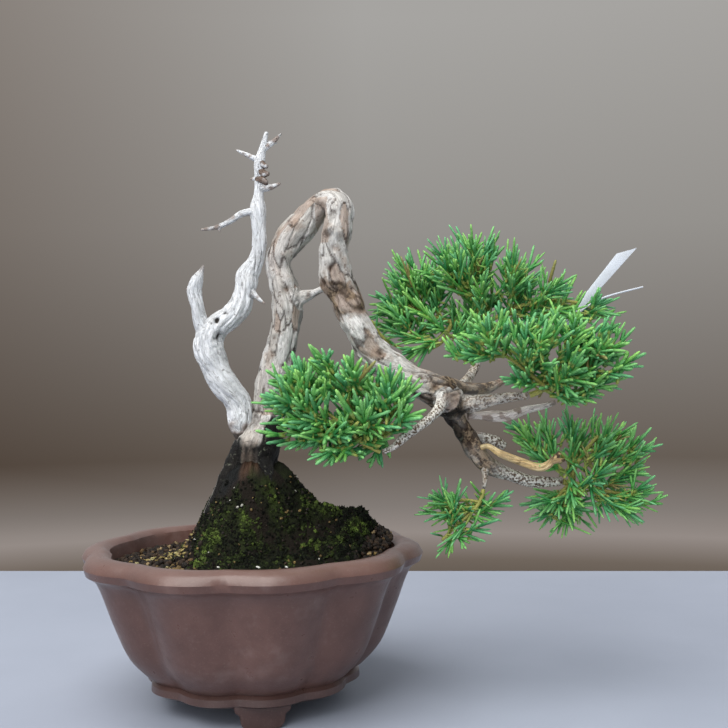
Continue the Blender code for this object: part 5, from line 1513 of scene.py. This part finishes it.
def grow_twigs(plan, others, own):
    """Twigs from the stems to the outer tips and over the cushions."""
    dice = random.Random(plan["seed"])
    length, radius = plan["shoot_length"], plan["shoot_radius"]
    stems = [[Vector(row[:3]) for row in stem] for stem in plan["stems"]]
    root = stems[0][0]
    starts_known = []
    for stem in stems:
        for a, b in zip(stem, stem[1:]):
            starts_known += [a.lerp(b, share) for share in ROOT_SHARES]
    targets = [Vector(tip) + Vector((0, plan["fan"] * (k % 3 - 1), 0)) for k, tip in enumerate(plan["tips"])]
    targets += cushion_targets(plan, dice)
    targets.sort(key=lambda target: (target - root).length)
    twigs = []
    for target in targets:
        reachable = [p for p in starts_known if (target - p).length > length * SHORTEST_REACH]
        starts = sorted(reachable, key=lambda p: abs((target - p).length - TWIG_REACH * length)
                        + INWARD_PULL * (p - root).length)
        for origin in starts[:TRIES]:
            span = target - origin
            end = target - span.normalized() * length
            whorls = min(plan["whorls"], int((end - origin).length / WHORL_SPACING))
            bend = Vector((0, dice.uniform(-TWIG_SWING, TWIG_SWING), -TWIG_SAG)) * span.length
            twig = Twig(origin, end, bend, whorls)
            twig.tip = (end, target)
            clear = others.free(end, target, radius) and own.free(end, target, radius, SHOOT_ROOT_SHARE)
            for k, (a, b) in enumerate(twig.stretches()):
                clear = clear and others.free(a, b, TWIG_RADIUS)
                clear = clear and own.free(a, b, TWIG_RADIUS, 0.0 if k else TWIG_ROOT_SHARE)
            if clear:
                twigs.append(twig)
                starts_known.append(twig.rings[1])
                for a, b in twig.stretches():
                    own.add(a, b, TWIG_RADIUS)
                own.add(end, target, radius)
                break
    return twigs


def grow_shoots(plan, twigs, others, own):
    """Shoots in whorls round the outer part of each twig."""
    dice = random.Random(plan["seed"] + 100)
    length, radius = plan["shoot_length"], plan["shoot_radius"]
    shoots = []
    for twig in twigs:
        for k in range(1, twig.whorls + 1):
            for side in range(3):
                along, outward = twig.outward(k, side)
                root = twig.rings[k].lerp(twig.rings[k + 1], 1 / 3)
                for _ in range(TRIES):
                    spread = math.radians(dice.uniform(*SHOOT_SPREAD))
                    heading = along * math.cos(spread) + outward * math.sin(spread)
                    heading += any_way(dice, SHOOT_DRIFT)
                    tip = root + heading.normalized() * length * dice.uniform(*SHOOT_LENGTHS)
                    if others.free(root, tip, radius) and own.free(root, tip, radius, SHOOT_ROOT_SHARE):
                        shoots.append((root, tip, along))
                        own.add(root, tip, radius)
                        break
    return shoots


def fill_cushions(plan, twigs, others):
    """Loose shoots inside the cushions, each on a stalk from the nearest twig or stem."""
    dice = random.Random(plan["seed"] + 200)
    hub = Vector(plan["stems"][0][0][:3])
    stretches = [(a, b) for a, b, _ in capsules(plan["stems"])]
    for twig in twigs:
        stretches += twig.stretches()
    starts = numpy.array([tuple(a) for a, b in stretches])
    spans = numpy.array([tuple(b - a) for a, b in stretches])
    lengths = numpy.maximum((spans ** 2).sum(1), 1e-9)
    volumes = [c[3] * c[4] * c[5] for c in plan["cushions"]]
    loose = []
    for cushion, volume in zip(plan["cushions"], volumes):
        for _ in range(round(plan["loose_shoots"] * volume / sum(volumes))):
            offset = Vector([dice.gauss(0, 1) for _ in range(3)]).normalized() * dice.uniform(0.3, 0.95)
            point = Vector([cushion[i] + offset[i] * cushion[i + 3] for i in range(3)])
            share = numpy.clip(((numpy.array(point) - starts) * spans).sum(1) / lengths, 0, 1)
            nearest = starts + spans * share[:, None]
            near = Vector(nearest[((numpy.array(point) - nearest) ** 2).sum(1).argmin()])
            off_twig, outwards, upwards = LOOSE_LEAN
            way = (point - near).normalized() * off_twig + (point - hub).normalized() * outwards
            way += UP * upwards
            way += any_way(dice, 0.3)
            way.normalize()
            length = plan["shoot_length"] * dice.uniform(0.75, 1.15)
            root, tip = point - way * length * 0.55, point + way * length * 0.45
            if others.free(root, tip, plan["shoot_radius"]):
                loose.append((near, root, tip))
    return loose


def draw_ring(shift, width, centre):
    """Draw the selected end out by one ring of scale leaves."""
    draw_out(shift)
    bpy.ops.transform.resize(value=(width, width, width), center_override=tuple(centre))


def leafy_cord(length, radius, rings, lean):
    """A cord of overlapping scale leaves along +Z that curves over by lean."""
    bpy.ops.object.select_all(action="DESELECT")
    bpy.ops.mesh.primitive_circle_add(vertices=4, radius=radius * 0.6, fill_type="NGON")
    cord = bpy.context.object
    open_edit()
    centre = Vector()
    width = 0.6
    for k in range(rings):
        t = (k + 1) / rings
        step = Vector((lean * (0.35 + 1.3 * t), 0, 1)).normalized() * length / rings
        goal = (1.0 if k % 2 == 0 else 0.82) * (0.85 + 0.2 * math.sin(math.pi * min(1.0, t * 1.15)))
        if k == rings - 1:
            goal = 0.42
        centre += step
        draw_ring(step, goal / width, centre)
        width = goal
    bpy.ops.object.mode_set(mode="OBJECT")
    return cord


def leafy_shoot(forks, lean):
    """A cord with forks, as points, faces and the age of each point."""
    cords = [leafy_cord(CORD_LENGTH, 1.0, 8, lean)]
    for height, side, reach in forks:
        fork = leafy_cord(reach, 0.9, 4, 0.1)
        fork.data.transform(Matrix.Translation((lean * height, 0, height)) @ Matrix.Rotation(side, 4, "Z")
                            @ Matrix.Rotation(0.7, 4, "Y"))
        cords.append(fork)
    shoot = joined(cords)
    open_edit()
    turn_faces_out()
    shape = shape_of(shoot)
    # Share along the cord from foot to tip, which sets the painted shade at the foot and the lighter tip
    shape["age"] = numpy.clip(shape["points"][:, 2] / CORD_LENGTH, 0, 1)
    return shape


def make_sprays(material):
    """Every bunch of foliage: stems, twigs and leafy shoots in one mesh."""
    shoots = [
        leafy_shoot([(2.0, 0.0, 5.0)], 0.04),
        leafy_shoot([(1.6, 0.4, 5.6), (4.0, 3.4, 3.6)], -0.06),
        leafy_shoot([(3.0, 2.9, 4.0)], 0.08),
        leafy_shoot([], -0.04),
        leafy_shoot([], 0.1),
    ]
    tag = [(x, TAG_Y, z, width) for x, z, width in TAG_MIDLINE]
    taken = capsules([TRUNK, *LIVE_LIMBS, DEADWOOD, *DEADWOOD_LIMBS, PALE_JIN, TAN_JIN, TAN_JIN_STUB,
                      tag, TAG_TIE])
    for name, plan in SPRAYS.items():
        others = Clearance(taken, CLEAR_AIR)
        own = Clearance(capsules(plan["stems"]), OWN_AIR)
        twigs = grow_twigs(plan, others, own)
        whorled = grow_shoots(plan, twigs, others, own)
        taken += [(Vector(row[:3]), Vector(row[:3]) + Vector(row[3:6]), row[6]) for row in own.rows.tolist()]
        loose = fill_cushions(plan, twigs, others)
        dress_spray(name, plan, twigs, whorled, loose, shoots, material)


def dress_spray(name, plan, twigs, whorled, loose, shapes, material):
    """Fill one bunch with leafy cords, and add its twigs, stalks and stems."""
    dice = random.Random(plan["seed"] + 300)
    hub = Vector(plan["stems"][0][0][:3])
    own_way, twig_way, outwards = SHOOT_LEAN
    cords = [twig.tip for twig in twigs]
    for root, tip, along in whorled:
        span = tip - root
        way = span.normalized() * own_way + along * twig_way + (root - hub).normalized() * outwards
        cords.append((root, root + way.normalized() * span.length))
    cords += [(root, tip) for _, root, tip in loose]
    leaves = Copies()
    width = plan["cord_width"]
    for root, tip in cords:
        span = (tip - root) * dice.uniform(*CORD_STRETCH)
        root = tip - span
        shape = dice.choice(shapes)
        dry = 0.7 if dice.random() < DRY_SHARE else 0.0
        tones = numpy.zeros((len(shape["age"]), 4))
        tones[:, 0] = shape["age"]
        tones[:, 1] = dice.random()
        tones[:, 2] = dry
        tones[:, 3] = 1
        turn = turn_to(span, dice.uniform(0, 6.28), width * dice.uniform(0.8, 1.15),
                       span.length / CORD_LENGTH)
        leaves.add(shape, turn, root, tones)
    for near, root, tip in loose:
        middle = near.lerp(root, 0.6) - (tip - root) * 0.12
        add_rod(leaves, [(*near, 0.3), (*middle, 0.34), (*root.lerp(tip, 0.1), 0.4)], 4, 0.16, 0.0)
    for twig in twigs:
        rows = [(*ring, TWIG_RADIUS * (0.75 if k else 0.7)) for k, ring in enumerate(twig.rings)]
        add_rod(leaves, rows, 5, 0.1, 0.0)
    for stem in plan["stems"]:
        add_rod(leaves, list(smoothed(stem, 2.5)), 6, 0.0, 0.25)
    put_in_place(leaves.piece("leaf"), name + "_leaves", material, name, slot="foliage")


def add_rod(copies, rows, sides, age, dry):
    """A thin round stem, thinner at its end."""
    centres = [Vector(row[:3]) for row in rows]
    points, corners = [], []
    normal = (centres[1] - centres[0]).orthogonal()
    for k, centre in enumerate(centres):
        along = (centres[min(k + 1, len(rows) - 1)] - centres[max(k - 1, 0)]).normalized()
        normal = (normal - along * normal.dot(along)).normalized()
        side = along.cross(normal)
        for i in range(sides):
            angle = 2 * math.pi * i / sides
            points.append(centre + (normal * math.cos(angle) + side * math.sin(angle)) * rows[k][3])
    for k in range(len(rows) - 1):
        for i in range(sides):
            n = (i + 1) % sides
            corners += [k * sides + i, k * sides + n, (k + 1) * sides + n, (k + 1) * sides + i]
    shape = {"points": numpy.array(points), "corners": numpy.array(corners),
             "sizes": numpy.full(len(corners) // 4, 4)}
    copies.add(shape, numpy.eye(3), (0, 0, 0), (age, 0.7, dry, 1))


# Tag

def make_tag(material):
    """A thin blank strip with rounded edges, and its tie."""
    outline = [(x, TAG_Y - TAG_THICK / 2, z) for x, z in TAG_OUTLINE]
    strip = soft_block(outline, (0, TAG_THICK, 0), 0.12, 2)
    tag = joined([strip, rod(smoothed(TAG_TIE, 2.0), 2)])
    take(tag)
    bpy.ops.object.shade_smooth_by_angle(angle=math.radians(40))
    put_in_place(tag, "blank_tag", material, "plant_tag", slot="label")


# Set

def make_table(material):
    """The pale table top, whose far edge runs behind the pot."""
    (x1, y1), (x2, y2) = TABLE_EDGE
    slope = (y2 - y1) / (x2 - x1)
    far = [(x, y1 + (x - x1) * slope) for x in (-TABLE_REACH, TABLE_REACH)]
    corners = [(-TABLE_REACH, TABLE_FRONT), (TABLE_REACH, TABLE_FRONT), far[1], far[0]]
    bpy.ops.object.select_all(action="DESELECT")
    bpy.ops.mesh.primitive_plane_add(size=1)
    table = bpy.context.object
    open_edit()
    draw_out((0, 0, -TABLE_THICK))
    bpy.ops.object.mode_set(mode="OBJECT")
    for vertex in table.data.vertices:
        x, y, z = vertex.co
        corner = corners[(2 if x > 0 else 3) if y > 0 else (1 if x > 0 else 0)]
        vertex.co = (*corner, z)
    open_edit()
    turn_faces_out()
    table.name = "table_top"
    table.data.transform(INTO_FRAME)
    table.data.materials.append(material)


def add_light(name, place, power, size, color):
    """A square soft light that faces the tree."""
    light = bpy.data.lights.new(name, "AREA")
    light.energy = power
    light.size = size
    light.color = color
    lamp = new_object(name, light)
    lamp.location = place
    lamp.rotation_euler = (LIGHT_GOAL - Vector(place)).to_track_quat("-Z", "Y").to_euler()


def make_light():
    """Soft overhead light, and a plain grey-beige room behind the table."""
    add_light("overhead", (-0.55, -0.85, 1.85), 54.0, 1.9, (1.0, 0.985, 0.96))
    add_light("front_fill", (-0.6, -2.0, 0.8), 14.0, 1.5, (0.97, 0.98, 1.0))
    world = bpy.data.worlds.new("room")
    bpy.context.scene.world = world
    world.use_nodes = True
    tree = world.node_tree
    tree.nodes.clear()
    heading = node(tree, "ShaderNodeSeparateXYZ", {0: node(tree, "ShaderNodeTexCoord").outputs["Generated"]})
    height = remap(tree, heading.outputs["Z"], -0.2, 0.35)
    ramp = node(tree, "ShaderNodeValToRGB", {"Fac": height})
    elements = ramp.color_ramp.elements
    for element, (position, code) in zip(elements, (ROOM_COLORS[0], ROOM_COLORS[-1])):
        element.position, element.color = position, tint(code)
    for position, code in ROOM_COLORS[1:-1]:
        elements.new(position).color = tint(code)
    side = math_node(tree, "MAXIMUM", remap(tree, heading.outputs["X"], -0.35, 0.0),
                     remap(tree, height, 0.22, 0.1))
    shaded = blend_colors(tree, side, "CFC6C0", "FFFFFF")
    wall = node(tree, "ShaderNodeMix", {0: 1.0, 6: ramp.outputs["Color"], 7: shaded},
                data_type="RGBA", blend_type="MULTIPLY").outputs[2]
    seen = node(tree, "ShaderNodeBackground", {"Color": wall, "Strength": 1.0})
    light = node(tree, "ShaderNodeBackground", {"Color": tint("E9EBEE"), "Strength": ROOM_LIGHT})
    path = node(tree, "ShaderNodeLightPath")
    mix = node(tree, "ShaderNodeMixShader", {0: path.outputs["Is Camera Ray"], 1: light.outputs[0],
                                             2: seen.outputs[0]})
    node(tree, "ShaderNodeOutputWorld", {"Surface": mix.outputs[0]})
    bpy.context.scene.view_settings.view_transform = "Standard"


def make_camera():
    """The photograph's viewpoint."""
    camera = bpy.data.cameras.new("camera")
    camera.lens = CAMERA_LENS
    camera.sensor_width = 36.0
    camera.clip_start = 0.01
    camera.clip_end = 20.0
    eye = new_object("camera", camera)
    level = Matrix.Rotation(math.radians(90) + CAMERA_PITCH, 4, "X")
    eye.matrix_world = (Matrix.Translation(POT_CENTRE + Vector(CAMERA_PLACE) * MM) @ level
                        @ Matrix.Rotation(-CAMERA_ROLL, 4, "Z"))
    bpy.context.scene.camera = eye


make_camera()
make_light()
make_table(table_finish())
make_pot(stoneware_finish())
make_wood(bark_finish(),
          bleached_finish("bleached_finish", "DDE1E5", "FDFEFF", "BAB6B1", 0.25),
          bleached_finish("ochre_finish", "DDB470", "FBE9BC", "94622F", 0.22))
make_soil(earth_finish())
make_moss(moss_finish())
make_grit(grit_finish())
make_sprays(leaf_finish())
make_tag(tag_finish())
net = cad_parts["drain_mesh"]
net_plastic = net_finish()
for net_slot in net.material_slots:
    net_slot.material = net_plastic

bpy.ops.object.select_all(action="DESELECT")
